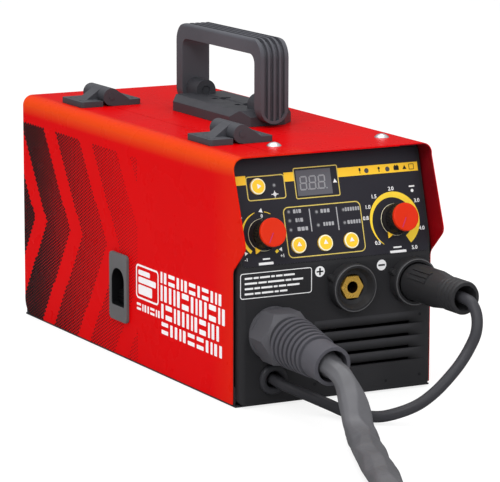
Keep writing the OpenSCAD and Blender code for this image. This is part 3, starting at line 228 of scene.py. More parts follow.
# the sleeve's width along the cable, and the flat sides that trade places along it and so crease:
# each side has its angle, its reach, the swing of that reach, its period and its start
sleeveFolds = {"lowest": 0.2, "roundFor": 10, "easeIn": 14, "widest": 1.18,
               "opening": (14, 26, 46, 62, 86, 104, 124, 150, 190),
               "width": (1.0, 0.78, 0.8, 1.0, 0.98, 1.14, 1.0, 1.08, 1.05),
               "sides": [(0, 1.06, 0.07, 61, 0.1), (38, 0.93, 0.10, 83, 0.5), (72, 0.74, 0.08, 57, 0.2),
                         (108, 0.70, 0.10, 71, 0.8), (146, 0.90, 0.10, 67, 0.35), (180, 1.06, 0.07, 77, 0.65),
                         (226, 1.0, 0.04, 91, 0.3), (270, 0.96, 0.0, 90, 0.0), (314, 1.0, 0.04, 73, 0.9)]}


def clamped(value, low=0, high=1):
    return min(max(value, low), high)


def smoothRoute(points, steps):
    # a curve through every point, with the same tangents as the route it is drawn from
    pts = [Vector(p) for p in points]
    out = []
    for i in range(len(pts) - 1):
        p0, p1, p2, p3 = pts[max(i - 1, 0)], pts[i], pts[i + 1], pts[min(i + 2, len(pts) - 1)]
        for k in range(steps):
            t = k / steps
            out.append(0.5 * (2 * p1 + (p2 - p0) * t + (2 * p0 - 5 * p1 + 4 * p2 - p3) * t * t
                              + (3 * p1 - p0 - 3 * p2 + p3) * t ** 3))
    return out + [pts[-1]]


def coilPoints(c):
    out, a = [], c["startAngle"]
    while a <= c["endAngle"] + 1e-6:
        r = c["firstRadius"] - c["step"] * (a - c["startAngle"]) / 360
        t = clamped((a - (c["endAngle"] - c["rise"])) / c["rise"])
        z = c["low"] + (c["high"] - c["low"]) * t * t * (3 - 2 * t)
        out.append((c["coilCentre"][0] + r * math.cos(math.radians(a)),
                    c["coilCentre"][1] + r * math.sin(math.radians(a)), z))
        a += c["stepAngle"]
    return out


def relay(points, spacing):
    # the same route in metres, with points at even distances
    lengths = [0.0]
    for a, b in zip(points, points[1:]):
        lengths.append(lengths[-1] + (b - a).length)
    count = max(int(round(lengths[-1] / spacing)), 8)
    out, i = [], 0
    for k in range(count + 1):
        want = lengths[-1] * k / count
        while i < len(points) - 2 and lengths[i + 1] < want:
            i += 1
        t = (want - lengths[i]) / max(lengths[i + 1] - lengths[i], 1e-9)
        out.append(points[i].lerp(points[i + 1], clamped(t)) * mm)
    return out


def clearAll():
    if bpy.context.object and bpy.context.object.mode != "OBJECT":
        bpy.ops.object.mode_set(mode="OBJECT")
    bpy.ops.object.select_all(action="DESELECT")


def hold(obj):
    clearAll()
    obj.select_set(True)
    bpy.context.view_layer.objects.active = obj


def settle(obj):
    # the object's own place goes into its mesh
    hold(obj)
    bpy.ops.object.transform_apply(location=True, rotation=True, scale=True)


def editAll():
    bpy.ops.object.mode_set(mode="EDIT")
    bpy.ops.mesh.select_all(action="SELECT")


def facesOut():
    # in edit mode: all faces point outwards, and editing ends
    bpy.ops.mesh.select_all(action="SELECT")
    bpy.ops.mesh.normals_make_consistent(inside=False)
    bpy.ops.object.mode_set(mode="OBJECT")


def paint(obj, finishName):
    obj.data.materials.clear()
    obj.data.materials.append(finishes[finishName])


def tubeAlong(name, route, rings, reach):
    # a skin round a route from a grid: reach(share, turn) is how far it stands off the route
    clearAll()
    count = len(route)
    bpy.ops.mesh.primitive_grid_add(x_subdivisions=rings, y_subdivisions=count - 1, size=1)
    tube = bpy.context.object
    tube.name = name
    side = Vector((0, 0, 0))
    frames = []
    for i in range(count):
        ahead = (route[min(i + 1, count - 1)] - route[max(i - 1, 0)]).normalized()
        if i == 0:
            side = ahead.cross(Vector((0, 0, 1)))
        side = (side - ahead * side.dot(ahead)).normalized()
        frames.append((side.copy(), side.cross(ahead).normalized()))
    for v in tube.data.vertices:
        k, i = int(round((v.co.x + 0.5) * rings)), int(round((v.co.y + 0.5) * (count - 1)))
        a = 2 * math.pi * (k % rings) / rings
        r = reach(i / (count - 1), a)
        v.co = route[i] + frames[i][0] * (math.cos(a) * r) + frames[i][1] * (math.sin(a) * r)
    editAll()
    bpy.ops.mesh.remove_doubles(threshold=1e-6)
    bpy.ops.mesh.select_all(action="DESELECT")
    bpy.ops.mesh.select_non_manifold(extend=False)
    bpy.ops.mesh.edge_face_add()
    facesOut()
    bpy.ops.object.shade_smooth()
    return tube


def cableSkin(share, turn):
    # round inside the relief, then a slack sleeve
    folds = sleeveFolds
    far = share * cableRoute["length"] * 1000
    stops, widths = folds["opening"], folds["width"]
    k = 0
    while k < len(stops) - 2 and far > stops[k + 1]:
        k += 1
    wide = widths[k] + (widths[k + 1] - widths[k]) * clamped((far - stops[k]) / (stops[k + 1] - stops[k]))
    reach = math.inf
    for angle, base, swing, period, start in folds["sides"]:
        facing = math.cos(turn - math.radians(angle))
        if facing > 0.05:
            part = (far / period + start) % 1
            zigzag = 1 - abs(2 * part - 1) * 2
            reach = min(reach, (base * wide + swing * zigzag) / facing)
    loose = min(1 + (reach - 1) * clamped((far - folds["roundFor"]) / folds["easeIn"]), folds["widest"])
    return cableRoute["diameter"] / 2 * mm * loose


reliefStart, reliefEnd = cableRoute["relief"]
reliefMiddle = tuple((a + b) / 2 for a, b in zip(reliefStart, reliefEnd))
freePath = smoothRoute([reliefStart, reliefMiddle, reliefEnd] + cableRoute["fall"], 8)
coil = coilPoints(cableRoute)
coilEnd = (coil[-1][0], coil[-1][1] + cableRoute["diameter"], coil[-1][2])
coilPath = smoothRoute([cableRoute["fall"][-1]] + coil + [coilEnd], 3)
cablePath = relay(freePath[:-1] + coilPath, cableRoute["pointEvery"])
leadPath = relay(smoothRoute(leadRoute["points"], 8), leadRoute["pointEvery"])

torchCable = tubeAlong("torchCable", cablePath, cableRoute["rings"], cableSkin)
for v in torchCable.data.vertices:
    # creases that reach the floor are pressed flat on it
    v.co.z = max(v.co.z, sleeveFolds["lowest"] * mm)
leadSkin = leadRoute["diameter"] / 2 * mm
polarityLead = tubeAlong("polarityLead", leadPath, leadRoute["rings"], lambda share, turn: leadSkin)

print("finishes")

colours = {"red": (0.585, 0.0010, 0.0022), "ink": (0.010, 0.008, 0.009), "moulding": (0.023, 0.023, 0.0255),
           "handle": (0.080, 0.082, 0.095), "yellow": (0.93, 0.56, 0.035), "brass": (0.82, 0.50, 0.09),
           "copper": (0.55, 0.20, 0.07)}


def mixed(color, amount):
    return tuple(clamped(c * amount) for c in color)


# colour, roughness, then where they differ: scale of the grain, its depth, spread of the tone
plastics = {
    "darkPaint": ((0.03, 0.03, 0.034), 0.5, 500),
    "blackMoulding": (colours["moulding"], 0.42),
    "overlayFilm": ((0.022, 0.021, 0.028), 0.34, 1500, 2e-5, 0.08),
    "windowPlastic": ((0.105, 0.105, 0.12), 0.2, 1800, 1e-5),
    "greyPlastic": (colours["handle"], 0.46, 1100),
    "hingePlastic": (mixed(colours["handle"], 0.6), 0.44, 1100),
    # the rim plastic is a painted highlight: pale rings on the socket collars' edges
    "rimHighlightPlastic": ((0.095, 0.095, 0.10), 0.34, 1100),
    "latchPlastic": ((0.115, 0.116, 0.12), 0.46, 1100),
    "wellShade": ((0.004, 0.004, 0.005), 0.6),
    "knobPlastic": ((0.017, 0.016, 0.017), 0.26, 1600, 1e-5),
    "capPlastic": ((0.62, 0.022, 0.002), 0.38, 1500, 1e-5, 0.05),
    "buttonRubber": (colours["yellow"], 0.4, 1500, 2e-5, 0.06),
    "glandPlastic": ((0.080, 0.079, 0.089), 0.5, 800),
    "reliefRubber": ((0.074, 0.073, 0.085), 0.56, 700),
    "leadRubber": ((0.036, 0.036, 0.041), 0.4),
    "plugRubber": ((0.024, 0.024, 0.026), 0.42),
    "torchGrip": ((0.022, 0.022, 0.024), 0.5, 700, 6e-5),
    "ferriteBlock": ((0.035, 0.034, 0.034), 0.6, 600, 8e-5),
    "gearPaint": ((0.20, 0.20, 0.21), 0.5, 300, 8e-5),
    "reelPlastic": ((0.018, 0.018, 0.019), 0.44),
    "switchPlastic": ((0.014, 0.014, 0.015), 0.3),
    "rockerPlastic": ((0.50, 0.012, 0.01), 0.3, 1500, 1e-5)}

# colour, roughness, spread of the tone
inks = {
    "printYellow": (colours["yellow"], 0.42, 0.05),
    "printLemon": ((0.90, 0.62, 0.045), 0.42, 0.05),
    "printOutline": ((0.62, 0.48, 0.12), 0.42, 0.05),
    # the cream is used for the button rims and for the painted highlight ring on each knob's skirt
    "printWhite": ((0.80, 0.80, 0.81), 0.42, 0.03),
    "creamPrintAndHighlight": ((0.90, 0.84, 0.60), 0.42, 0.03),
    "printPale": ((0.36, 0.36, 0.38), 0.42, 0.03),
    "printGrey": ((0.062, 0.062, 0.07), 0.35, 0.16),
    "printBlackAndHoleShade": ((0.012, 0.012, 0.014), 0.4, 0.16),
    "digitGrey": ((0.25, 0.25, 0.265), 0.3, 0.16),
    "pinkInk": ((0.50, 0.03, 0.13), 0.4, 0.16)}

# colour, roughness, scale of the tool marks, metallic
metals = {
    "brassMetal": (colours["brass"], 0.26, 90, 0.6),
    "steelMetal": ((0.60, 0.60, 0.62), 0.3, 260, 1.0),
    "aluminiumMetal": ((0.62, 0.63, 0.64), 0.38, 180, 1.0),
    "copperMetal": (colours["copper"], 0.34, 260, 1.0)}


def tones(f, scale, detail, low, high, color, spread):
    # a slow drift between a darker and a paler tone
    return f.blend(f.noise(scale, detail).ramp(low, high), mixed(color, 1 - spread), mixed(color, 1 + spread))


def mouldedPlastic(name, color, rough, grain=900, depth=4e-5, spread=0.16):
    # moulded plastic: a fine spark texture, a slow drift in tone and a little handling gloss
    f = Finish(name, color, rough, specular=0.16)
    f.set("Base Color", tones(f, 9.0, 2.0, 0.3, 0.7, color, spread))
    f.set("Roughness", f.noise(38.0, 3.0).ramp(0.35, 0.65, rough - 0.06, rough + 0.07))
    f.bump(f.noise(grain, 2.0), 0.35, depth)
    return f


def wornMetal(name, color, rough, grain, metallic):
    # plated or turned metal with fine tool marks
    f = Finish(name, color, rough, metallic)
    lines = f.noise(grain, 4.0, 0.7)
    f.set("Base Color", f.blend(f.noise(60.0).ramp(0.35, 0.7), mixed(color, 0.82), mixed(color, 1.12)))
    f.set("Roughness", lines.ramp(0.3, 0.7, rough - 0.08, rough + 0.14))
    f.bump(lines, 0.3, 3e-5)
    return f


# the enamel: its bend, a painted orange highlight over the bend and near the front edge, painted shade on the
# right wing's inner face and painted dark shade on the inner faces behind the front
enamel = {"bend": 9.0, "side": 90.0, "top": 198.0, "skin": 0.5, "insideShade": (0.03, 0.026, 0.026),
          "edgeY": -203.5, "leanZ": 108.0, "lean": 0.287, "paintedHighlight": (0.68, 0.058, 0.007), "paintedHighlightShare": 0.9,
          "paintedHighlightZ": (181.0, 190.0), "paintedHighlightX": (-77.0, -89.0), "frontHighlightY": (-165.0, -200.0),
          "frontHighlightShare": 0.16, "frontHighlightX": -20.0, "wing": (0.17, 0.004, 0.008), "wingX": 60.0,
          "wingZ": (70.0, 170.0), "wingShare": 0.4, "rough": 0.28, "specular": 0.018}


def sprayed(f, color):
    # cloudy enamel with a painted warm highlight over the bend and towards the front edge, painted shade on
    # the right wing's inner face, and painted dark shade on every inner face behind the front
    e = enamel
    x, y, z = f.millimetres()
    overX = (abs(x) - (e["side"] - e["bend"])).high(0.0)
    overZ = (z - (e["top"] - e["bend"])).high(0.0)
    depth = e["bend"] - (overX * overX + overZ * overZ).root()
    behind = (y - (z - e["leanZ"]).high(0.0) * e["lean"]) > e["edgeY"]
    inside = depth > e["skin"]
    cloudy = tones(f, 5.0, 2.0, 0.3, 0.7, color, 0.03)
    # painted highlight: an orange tint over the rounded bend between side and top, and a weaker one towards
    # the front edge on the left
    bend = z.ramp(*e["paintedHighlightZ"]) * x.ramp(*e["paintedHighlightX"]) * e["paintedHighlightShare"]
    frontHighlight = y.ramp(*e["frontHighlightY"], 0.0, e["frontHighlightShare"]) * (x < e["frontHighlightX"])
    highlighted = f.blend(bend.high(frontHighlight), cloudy, e["paintedHighlight"])
    # painted shade: the inner face of the right wing is darker red, more so towards the top
    wing = inside * (x > e["wingX"]) * z.ramp(*e["wingZ"], e["wingShare"], 1.0)
    # painted shade: inner faces behind the front are near black, standing in for the shade inside the case
    return f.blend(inside * behind, f.blend(wing, highlighted, e["wing"]), e["insideShade"])


def paintedSheet(name, color):
    # sprayed enamel: orange peel, slight cloudiness, faint handling marks
    rough = enamel["rough"]
    f = Finish(name, color, rough, specular=enamel["specular"])
    f.set("Base Color", sprayed(f, color))
    f.set("Roughness", f.noise(24.0, 4.0).ramp(0.35, 0.7, rough - 0.04, rough + 0.08))
    f.bump(f.noise(420.0, 1.5), 0.05, 3e-5)
    return f


doorPrint = {"high": 2.8, "long": 5.4, "smallest": 0.5, "largest": 1.34, "squeeze": 0.72, "stripe": 74.0,
             "share": 0.66, "middle": 92.0, "slant": 0.66, "shift": 416.0, "fadeFrom": -30.0, "fadeTo": 176.0,
             "top": 174.0, "outer": -89.3}


def printedDoorSheet(name, color, p):
    # the enamel again, with round ink dots in chevrons that thin out towards the front
    f = paintedSheet(name, color)
    x, y, z = f.millimetres()
    rows = []
    for shift in (0.0, 0.5):
        u, v = y * (1 / p["long"]) + shift, z * (1 / p["high"]) + shift
        du, dv = (u.part() - 0.5) * (p["long"] * p["squeeze"]), (v.part() - 0.5) * p["high"]
        cellY = (u.whole() + 0.5 - shift) * p["long"]
        cellZ = (v.whole() + 0.5 - shift) * p["high"]
        along = cellY - abs(cellZ - p["middle"]) * p["slant"] + p["shift"]
        chevron = (along * (1 / p["stripe"])).part() < p["share"]
        size = cellY.ramp(p["fadeFrom"], p["fadeTo"], p["smallest"], p["largest"])
        dot = ((du * du + dv * dv).root() < size) * chevron
        rows.append(dot * (cellY > p["fadeFrom"]) * (cellZ < p["top"]))
    dots = rows[0].high(rows[1]) * (x < p["outer"])
    f.set("Base Color", f.blend(dots, sprayed(f, color), colours["ink"]))


# louvres: dark is the painted shade at each slot, pale the painted highlight at the top of each band
ventShade = {"first": 23.5, "step": 10.0, "count": 4.0, "left": -20.5, "right": (79.0, 65.0),
             "slope": (0.2, 0.82), "dark": 0.3, "pale": 1.7}


def louvredMoulding(name, color, p):
    # the same moulding, with painted shade deepening towards the slot of each louvre and a painted highlight
    # towards the top of each band
    f = mouldedPlastic(name, color, 0.42)
    x, y, z = f.millimetres()
    step = (z - p["first"]) * (1 / p["step"])
    zone = (step > 0.0) * (step < p["count"]) * (x > p["left"]) * x.ramp(*p["right"])
    shaded = f.blend(step.part().ramp(*p["slope"]), mixed(color, p["dark"]), mixed(color, p["pale"]))
    f.set("Base Color", f.blend(zone, tones(f, 9.0, 2.0, 0.3, 0.7, color, 0.16), shaded))


insertBore = {"x": 11.0, "z": 89.0, "radius": 4.8, "shade": (0.035, 0.018, 0.004)}


def boredBrass(name, color, b):
    # turned brass with painted shade inside its bore
    f = wornMetal(name, *metals["brassMetal"])
    x, y, z = f.millimetres()
    dx, dz = x - b["x"], z - b["z"]
    f.set("Base Color", f.blend((dx * dx + dz * dz).root() < b["radius"], color, b["shade"]))


def wovenSleeve(name, color):
    # a coated sleeve: satin, with long soft creases and scuffs along the cable
    f = Finish(name, color, 0.52)
    scuff = f.noise(90.0, 4.0, 0.65)
    f.set("Base Color", tones(f, 16.0, 3.0, 0.3, 0.72, color, 0.2))
    f.set("Roughness", scuff.ramp(0.3, 0.7, 0.44, 0.62))
    f.bump(f.noise(30.0, 2.0) * 0.7 + scuff * 0.3, 0.5, 0.0012)


def circuitBoard(name, color):
    # tracks across the board where a slow noise allows them, and round pads
    f = Finish(name, color, 0.36)
    x, y, z = f.axes()
    cells = f.node("ShaderNodeTexVoronoi", {}, {"Vector": f.coords, "Scale": 170.0}, "Distance")
    tracks = (abs((x * 260).part() - 0.5) < 0.10) * (f.noise(22.0) > 0.52)
    tinned = tracks.high(cells < 0.16)
    f.set("Base Color", f.blend(tinned, color, mixed(color, 2.4)))
    f.set("Roughness", tinned.ramp(0, 1, 0.42, 0.26))


def woundCoil(name, color, pitch, axis):
    # wire wound side by side, drawn as fine round ridges along one axis, with painted shade darkening the
    # grooves between the turns
    f = Finish(name, color, 0.35, 0.9)
    turn = (f.axes()[axis] * (1 / pitch)).part() - 0.5
    ridge = (0.25 - turn * turn).high(0).root()
    # painted shade: the colour falls to 0.4 of itself in the grooves between turns
    f.set("Base Color", f.blend(ridge.ramp(0.1, 0.5), mixed(color, 0.4), mixed(color, 1.1)))
    f.set("Roughness", f.noise(140.0).ramp(0.3, 0.7, 0.27, 0.47))
    f.bump(ridge, 0.8, pitch * 0.5)


def capacitorSleeve(name, color, band):
    # a shrunk sleeve with pale bands
    f = Finish(name, color, 0.3)
    x, y, z = f.axes()
    f.set("Base Color", f.blend(abs((y * 24).part() - 0.5) < 0.06, color, band))
    f.set("Roughness", f.noise(120.0).ramp(0.3, 0.7, 0.24, 0.38))


for name, row in plastics.items():
    mouldedPlastic(name, *row)
for name, (color, rough, spread) in inks.items():
    mouldedPlastic(name, color, rough, 1500, 1e-5, spread)
for name, row in metals.items():
    wornMetal(name, *row)
paintedSheet("redPaint", colours["red"])
printedDoorSheet("redDoorPaint", colours["red"], doorPrint)
louvredMoulding("frontBlack", colours["moulding"], ventShade)
boredBrass("insertBrass", colours["brass"], insertBore)
wovenSleeve("cableSleeve", (0.088, 0.088, 0.097))
circuitBoard("boardGreen", (0.012, 0.075, 0.028))
woundCoil("reelWinding", (0.56, 0.54, 0.50), 0.0011, 0)
woundCoil("copperWinding", colours["copper"], 0.0016, 2)
capacitorSleeve("capacitorBlue", (0.02, 0.035, 0.12), (0.55, 0.57, 0.60))

print("CAD pieces that keep their own shape")

ownShape = {
    "darkPaint": ["base_tray", "partition"], "hingePlastic": ["hinge_pins", "handle_pins"],
    "boardGreen": ["control_board", "power_board"], "insertBrass": ["socket_inserts"],
    "steelMetal": ["panel_nuts", "drive_roll", "pressure_roll"], "windowPlastic": ["display_window"],
    "brassMetal": ["plug_pin", "lead_lug", "torch_neck"], "copperMetal": ["torch_nozzle"],
    "reelPlastic": ["fan_frame", "fan_rotor", "spool_spindle"], "aluminiumMetal": ["heat_sinks"]}

for finishName, nodes in ownShape.items():
    for node in nodes:
        for materialSlot in frame["nodes"][node].material_slots:
            materialSlot.material = finishes[finishName]

print("dressed copies")

# the piece, its finish, its slot and the width of its rounded edges
dressTable = {
    "front_panel": ("frontMoulding", "frontBlack", "black_moulding", 0.45),
    "rear_panel": ("rearMoulding", "blackMoulding", "black_moulding", 0.45),
    "side_door": ("doorSheet", "redDoorPaint", "red_paint", 0.2),
    "top_cover": ("coverSheet", "redPaint", "red_paint", 0.2),
    "hinge_door_leaves": ("hingeDoorLeaves", "hingePlastic", "grey_plastic", 0.7),
    "hinge_body_leaves": ("hingeBodyLeaves", "hingePlastic", "grey_plastic", 0.7),
    "latch_bezel": ("latchBezel", "latchPlastic", "grey_plastic", 0.5),
    "latch_slide": ("latchSlide", "knobPlastic", "black_moulding", 0.4),
    "handle_base": ("handleBase", "hingePlastic", "grey_plastic", 0.7),
    "handle_loop": ("handleLoop", "greyPlastic", "grey_plastic", 0.5),
    "cover_screws": ("coverScrews", "steelMetal", "steel", 0.2),
    "control_overlay": ("overlaySheet", "overlayFilm", "printed_overlay", 0.1),
    "panel_sockets": ("panelSockets", "plugRubber", "black_moulding", 0.5),
    "lead_plug": ("leadPlug", "plugRubber", "lead_rubber", 0.5),
    "lead_grommet": ("leadGrommet", "leadRubber", "lead_rubber", 0.5),
    "gland_nut": ("glandNut", "glandPlastic", "relief_rubber", 0.8),
    "strain_relief": ("strainRelief", "reliefRubber", "relief_rubber", 0.45),
    "torch_handle": ("torchHandle", "torchGrip", "black_moulding", 0.8),
    "torch_trigger": ("torchTrigger", "rockerPlastic", "cap_red", 0.6),
    "fan_guard": ("fanGuard", "steelMetal", "steel", 0.3),
    "switch_body": ("switchBody", "switchPlastic", "black_moulding", 0.4),
    "power_rocker": ("powerRocker", "rockerPlastic", "cap_red", 0.5),
    "mains_gland": ("mainsGland", "switchPlastic", "black_moulding", 0.5),
    "transformer": ("transformerCore", "ferriteBlock", "ferrite", 0.5),
    "capacitors": ("filterCapacitors", "capacitorBlue", "capacitor_sleeve", 0.8),
    "wire_spool": ("wireReel", "reelPlastic", "reel_plastic", 0.4),
    "spool_nut": ("reelNut", "reelPlastic", "reel_plastic", 0.6),
    "feed_gearmotor": ("feedGearmotor", "gearPaint", "gear_case", 0.8),
    "pressure_arm": ("pressureArm", "gearPaint", "gear_case", 0.6),
    "tension_screw": ("tensionScrew", "knobPlastic", "black_moulding", 0.5)}
bodyOf = {n: b for b, ns in frame["record"]["behaviour"]["bodies"].items() for n in ns}


def place(piece, name, finishName, slotName, body):
    piece.name = name
    settle(piece)
    paint(piece, finishName)
    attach(piece, body)
    return piece


def roundEdges(piece, width):
    hold(piece)
    bevel = piece.modifiers.new("edgeRounding", "BEVEL")
    bevel.width = width * mm
    bevel.segments = 2
    bevel.limit_method = "ANGLE"
    bevel.angle_limit = math.radians(38)
    bpy.ops.object.modifier_apply(modifier=bevel.name)


def evenShade(piece, angle=35):
    # smooth over bevels and bends, while the large flat faces stay flat
    hold(piece)
    bpy.ops.object.shade_smooth_by_angle(angle=math.radians(angle))
    weighted = piece.modifiers.new("evenShade", "WEIGHTED_NORMAL")
    weighted.keep_sharp = True
    weighted.weight = 90
    bpy.ops.object.modifier_apply(modifier=weighted.name)


def dressed(node, name, finishName, slotName, width):
    # a copy of the CAD piece, joined up, with its flat faces made whole and its edges rounded
    hold(frame["nodes"][node])
    bpy.ops.object.duplicate()
    piece = bpy.context.object
    piece.parent = None
    for key in [k for k in piece.keys() if k.startswith("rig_")]:
        del piece[key]
    editAll()
    bpy.ops.mesh.remove_doubles(threshold=2e-6)
    bpy.ops.mesh.dissolve_limited(angle_limit=math.radians(0.8))
    bpy.ops.object.mode_set(mode="OBJECT")
    roundEdges(piece, width)
    place(piece, name, finishName, slotName, bodyOf[node])
    evenShade(piece)
    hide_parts(node)
    return piece


def paintWhere(piece, finishName, test):
    # a second finish on the faces that lie where test says
    piece.data.materials.append(finishes[finishName])
    last = len(piece.data.materials) - 1
    for side in piece.data.polygons:
        if test(side.center / mm, side.normal):
            side.material_index = last


pieces = {node: dressed(node, *row) for node, row in dressTable.items()}

print("front face: printed shapes, numbers and lights")

# the leaning face starts at leanZ; lift is how far each print stands off the moulding
face = {"y": -207.0, "leanZ": 108.0, "lean": math.radians(16), "side": -90.0, "ink": 0.12}
lift = {"sheet": 0.49, "outlines": 0.52, "digits": 0.55, "pictograms": 0.57, "front": -0.01, "signs": 0.07}


def up(z):
    # height on the leaning face, measured along it from its lower edge
    return (z - face["leanZ"]) / math.cos(face["lean"])


def standing(across, upwards, out, place):
    turn = Matrix((Vector(across), Vector(upwards), Vector(out))).transposed().to_4x4()
    return Matrix.Translation(Vector(place) * mm) @ turn


def slopeFrame(x=0.0, s=0.0, off=0.0):
    level, steep = math.sin(face["lean"]), math.cos(face["lean"])
    out, climb = Vector((0, -steep, level)), Vector((0, level, steep))
    return standing((1, 0, 0), climb, out, Vector((x, face["y"], face["leanZ"])) + climb * s + out * off)


def frontFrame(z=0.0, off=lift["front"]):
    return standing((1, 0, 0), (0, 0, 1), (0, -1, 0), (0, face["y"] - off, z))


def thicken(depth):
    bpy.ops.mesh.select_all(action="SELECT")
    bpy.ops.mesh.extrude_region_move(TRANSFORM_OT_translate={"value": (0, 0, depth * mm)})
    facesOut()


def many(shape, rows):
    return [shape(*row) for row in rows]


def flatBox(x0, x1, y0, y1, corner):
    # a flat rectangle with rounded corners, left in edit mode
    clearAll()
    bpy.ops.mesh.primitive_plane_add(size=1)
    shape = bpy.context.object
    bpy.ops.object.mode_set(mode="EDIT")
    bpy.ops.transform.resize(value=((x1 - x0) * mm, (y1 - y0) * mm, 1))
    bpy.ops.transform.translate(value=((x0 + x1) / 2 * mm, (y0 + y1) / 2 * mm, 0))
    if corner:
        bpy.ops.mesh.bevel(offset=corner * mm, segments=5, affect="VERTICES")
    return shape


def block(x0, x1, y0, y1, corner=0.0, depth=face["ink"]):
    shape = flatBox(x0, x1, y0, y1, corner)
    thicken(depth)
    return shape


def slab(x0, x1, z0, z1, corner=0.0):
    # a block between two heights of the leaning face
    return block(x0, x1, up(z0), up(z1), corner)


def dash(x0, x1, z, half, corner):
    # a block about one height of the leaning face
    return block(x0, x1, up(z) - half, up(z) + half, corner)


def border(x0, x1, y0, y1, corner, width):
    # a rounded frame line
    shape = flatBox(x0, x1, y0, y1, corner)
    bpy.ops.mesh.inset(thickness=width * mm, depth=0)
    bpy.ops.mesh.delete(type="FACE")
    thicken(face["ink"])
    return shape


def disc(x, y, radius, sides=32, depth=face["ink"], turn=0.0):
    # with three sides it is an arrow that points along turn
    clearAll()
    bpy.ops.mesh.primitive_circle_add(vertices=sides, radius=radius * mm, fill_type="NGON",
                                      location=(x * mm, y * mm, 0), rotation=(0, 0, math.radians(turn - 90)))
    shape = bpy.context.object
    bpy.ops.object.mode_set(mode="EDIT")
    thicken(depth)
    return shape


def sweepBand(centre, inner, outer, start, end, steps):
    # a printed arc: inner and outer give its two radii at each share of its length
    clearAll()
    bpy.ops.mesh.primitive_grid_add(x_subdivisions=1, y_subdivisions=steps, size=1)
    shape = bpy.context.object
    x, z = centre
    for v in shape.data.vertices:
        share = v.co.y + 0.5
        r = inner(share) if v.co.x < 0 else outer
        a = math.radians(start + (end - start) * share)
        v.co = Vector(((x + r * math.cos(a)) * mm, (up(z) + r * math.sin(a)) * mm, 0))
    bpy.ops.object.mode_set(mode="EDIT")
    thicken(face["ink"])
    return shape


def words(text, x, z, size):
    # numbers and signs only
    clearAll()
    bpy.ops.object.text_add(location=(x * mm, up(z) * mm, 0))
    item = bpy.context.object
    item.data.body = text
    item.data.size = size * mm
    item.data.align_x = "CENTER"
    item.data.align_y = "CENTER"
    item.data.extrude = face["ink"] * mm / 2
    item.data.offset = 0.09 * mm
    item.data.resolution_u = 3
    bpy.ops.object.convert(target="MESH")
    item = bpy.context.object
    editAll()
    bpy.ops.mesh.remove_doubles(threshold=1e-7)
    bpy.ops.transform.translate(value=(0, 0, face["ink"] * mm / 2))
    bpy.ops.object.mode_set(mode="OBJECT")
    return item


def gather(name, items, where, finishName, slotName, body="case"):
    # several shapes become one piece at its place
    clearAll()
    for item in items:
        item.select_set(True)
    bpy.context.view_layer.objects.active = items[0]
    bpy.ops.object.transform_apply(location=True, rotation=True, scale=True)
    if len(items) > 1:
        bpy.ops.object.join()
    piece = bpy.context.object
    piece.matrix_world = where @ piece.matrix_world
    return place(piece, name, finishName, slotName, body)


strip = {"z": (173.7, 180.6), "spans": [(-82, -72.1), (-38.3, -29.3), (10.1, 83.9)]}
boxes = {"spans": [(-72.4, -38.0, 161.2, 179.8, 2.6), (-29.6, 10.4, 159.6, 183.5, 1.6),
                   (-43.0, 27.0, 115.5, 154.5, 4.6)], "line": 0.8}
lights = {"places": [(-47.8, 171.8), (-38, 150.7), (-38, 143.9), (-38, 136.9), (-13.2, 148.8), (-13.1, 138.7),
                     (11.1, 148.6), (10.8, 138.7)], "onStrip": [(36.5, 176.8), (55.8, 176.7)],
          "lens": (1.75, 28), "stripLens": (2.0, 28, 0.2), "eye": (1.0, 20, 0.18)}
marks = {"names": [(-34.0, 150.7, (2.2, 1.1, 2.2)), (-32.8, 143.9, (1.8, 0.9, 2.4)),
                   (-32.0, 137.1, (2.8, 2.8, 2.2)), (-9.6, 149.2, (2.2, 2.2, 2.2)),
                   (-8.4, 139.1, (1.6, 1.6, 2.0, 2.0)), (12.6, 148.8, (1.5, 1.5, 1.6, 1.5, 1.6, 1.6)),
                   (13.4, 138.9, (2.0, 1.8, 1.8, 1.6, 1.6))], "half": 1.5, "gap": 0.75, "corner": 0.3,
         "dividers": [(-19.9, -19.0, 134.3, 151.8, 0.3), (4.5, 5.4, 133.5, 151.3, 0.3)]}
# span is an arc's start and end in degrees and its steps
rightArc = {"centre": (56.6, 137.3), "outer": 22.75, "span": (236, -58, 64), "thin": 0.35, "swell": 4.6,
            "swellBy": 0.55, "bow": 0.9, "tail": 2.2}
leftArc = {"centre": (-63.5, 135.2), "outer": 18.6, "span": (228, 104, 40), "thin": 0.3, "swell": 2.5,
           "bow": 0.7, "rest": [(0.5, 78, 60, 10), (2.2, -47, -56, 6)]}
dialNumbers = [("0.5", 38.5, 120.8, 4.3), ("0.8", 30.4, 140.4, 4.3), ("1.0", 33.4, 148.8, 4.3),
               ("1.5", 40.1, 156.4, 4.3), ("2.0", 56.6, 161.4, 4.3), ("3.0", 79.0, 150.6, 4.3),
               ("4.0", 80.4, 129.1, 4.3), ("5.0", 71.4, 114.8, 4.3), ("0", -62.1, 149.4, 3.7),
               ("-1", -80.3, 117.6, 3.6), ("+1", -48.2, 118.2, 3.6)]
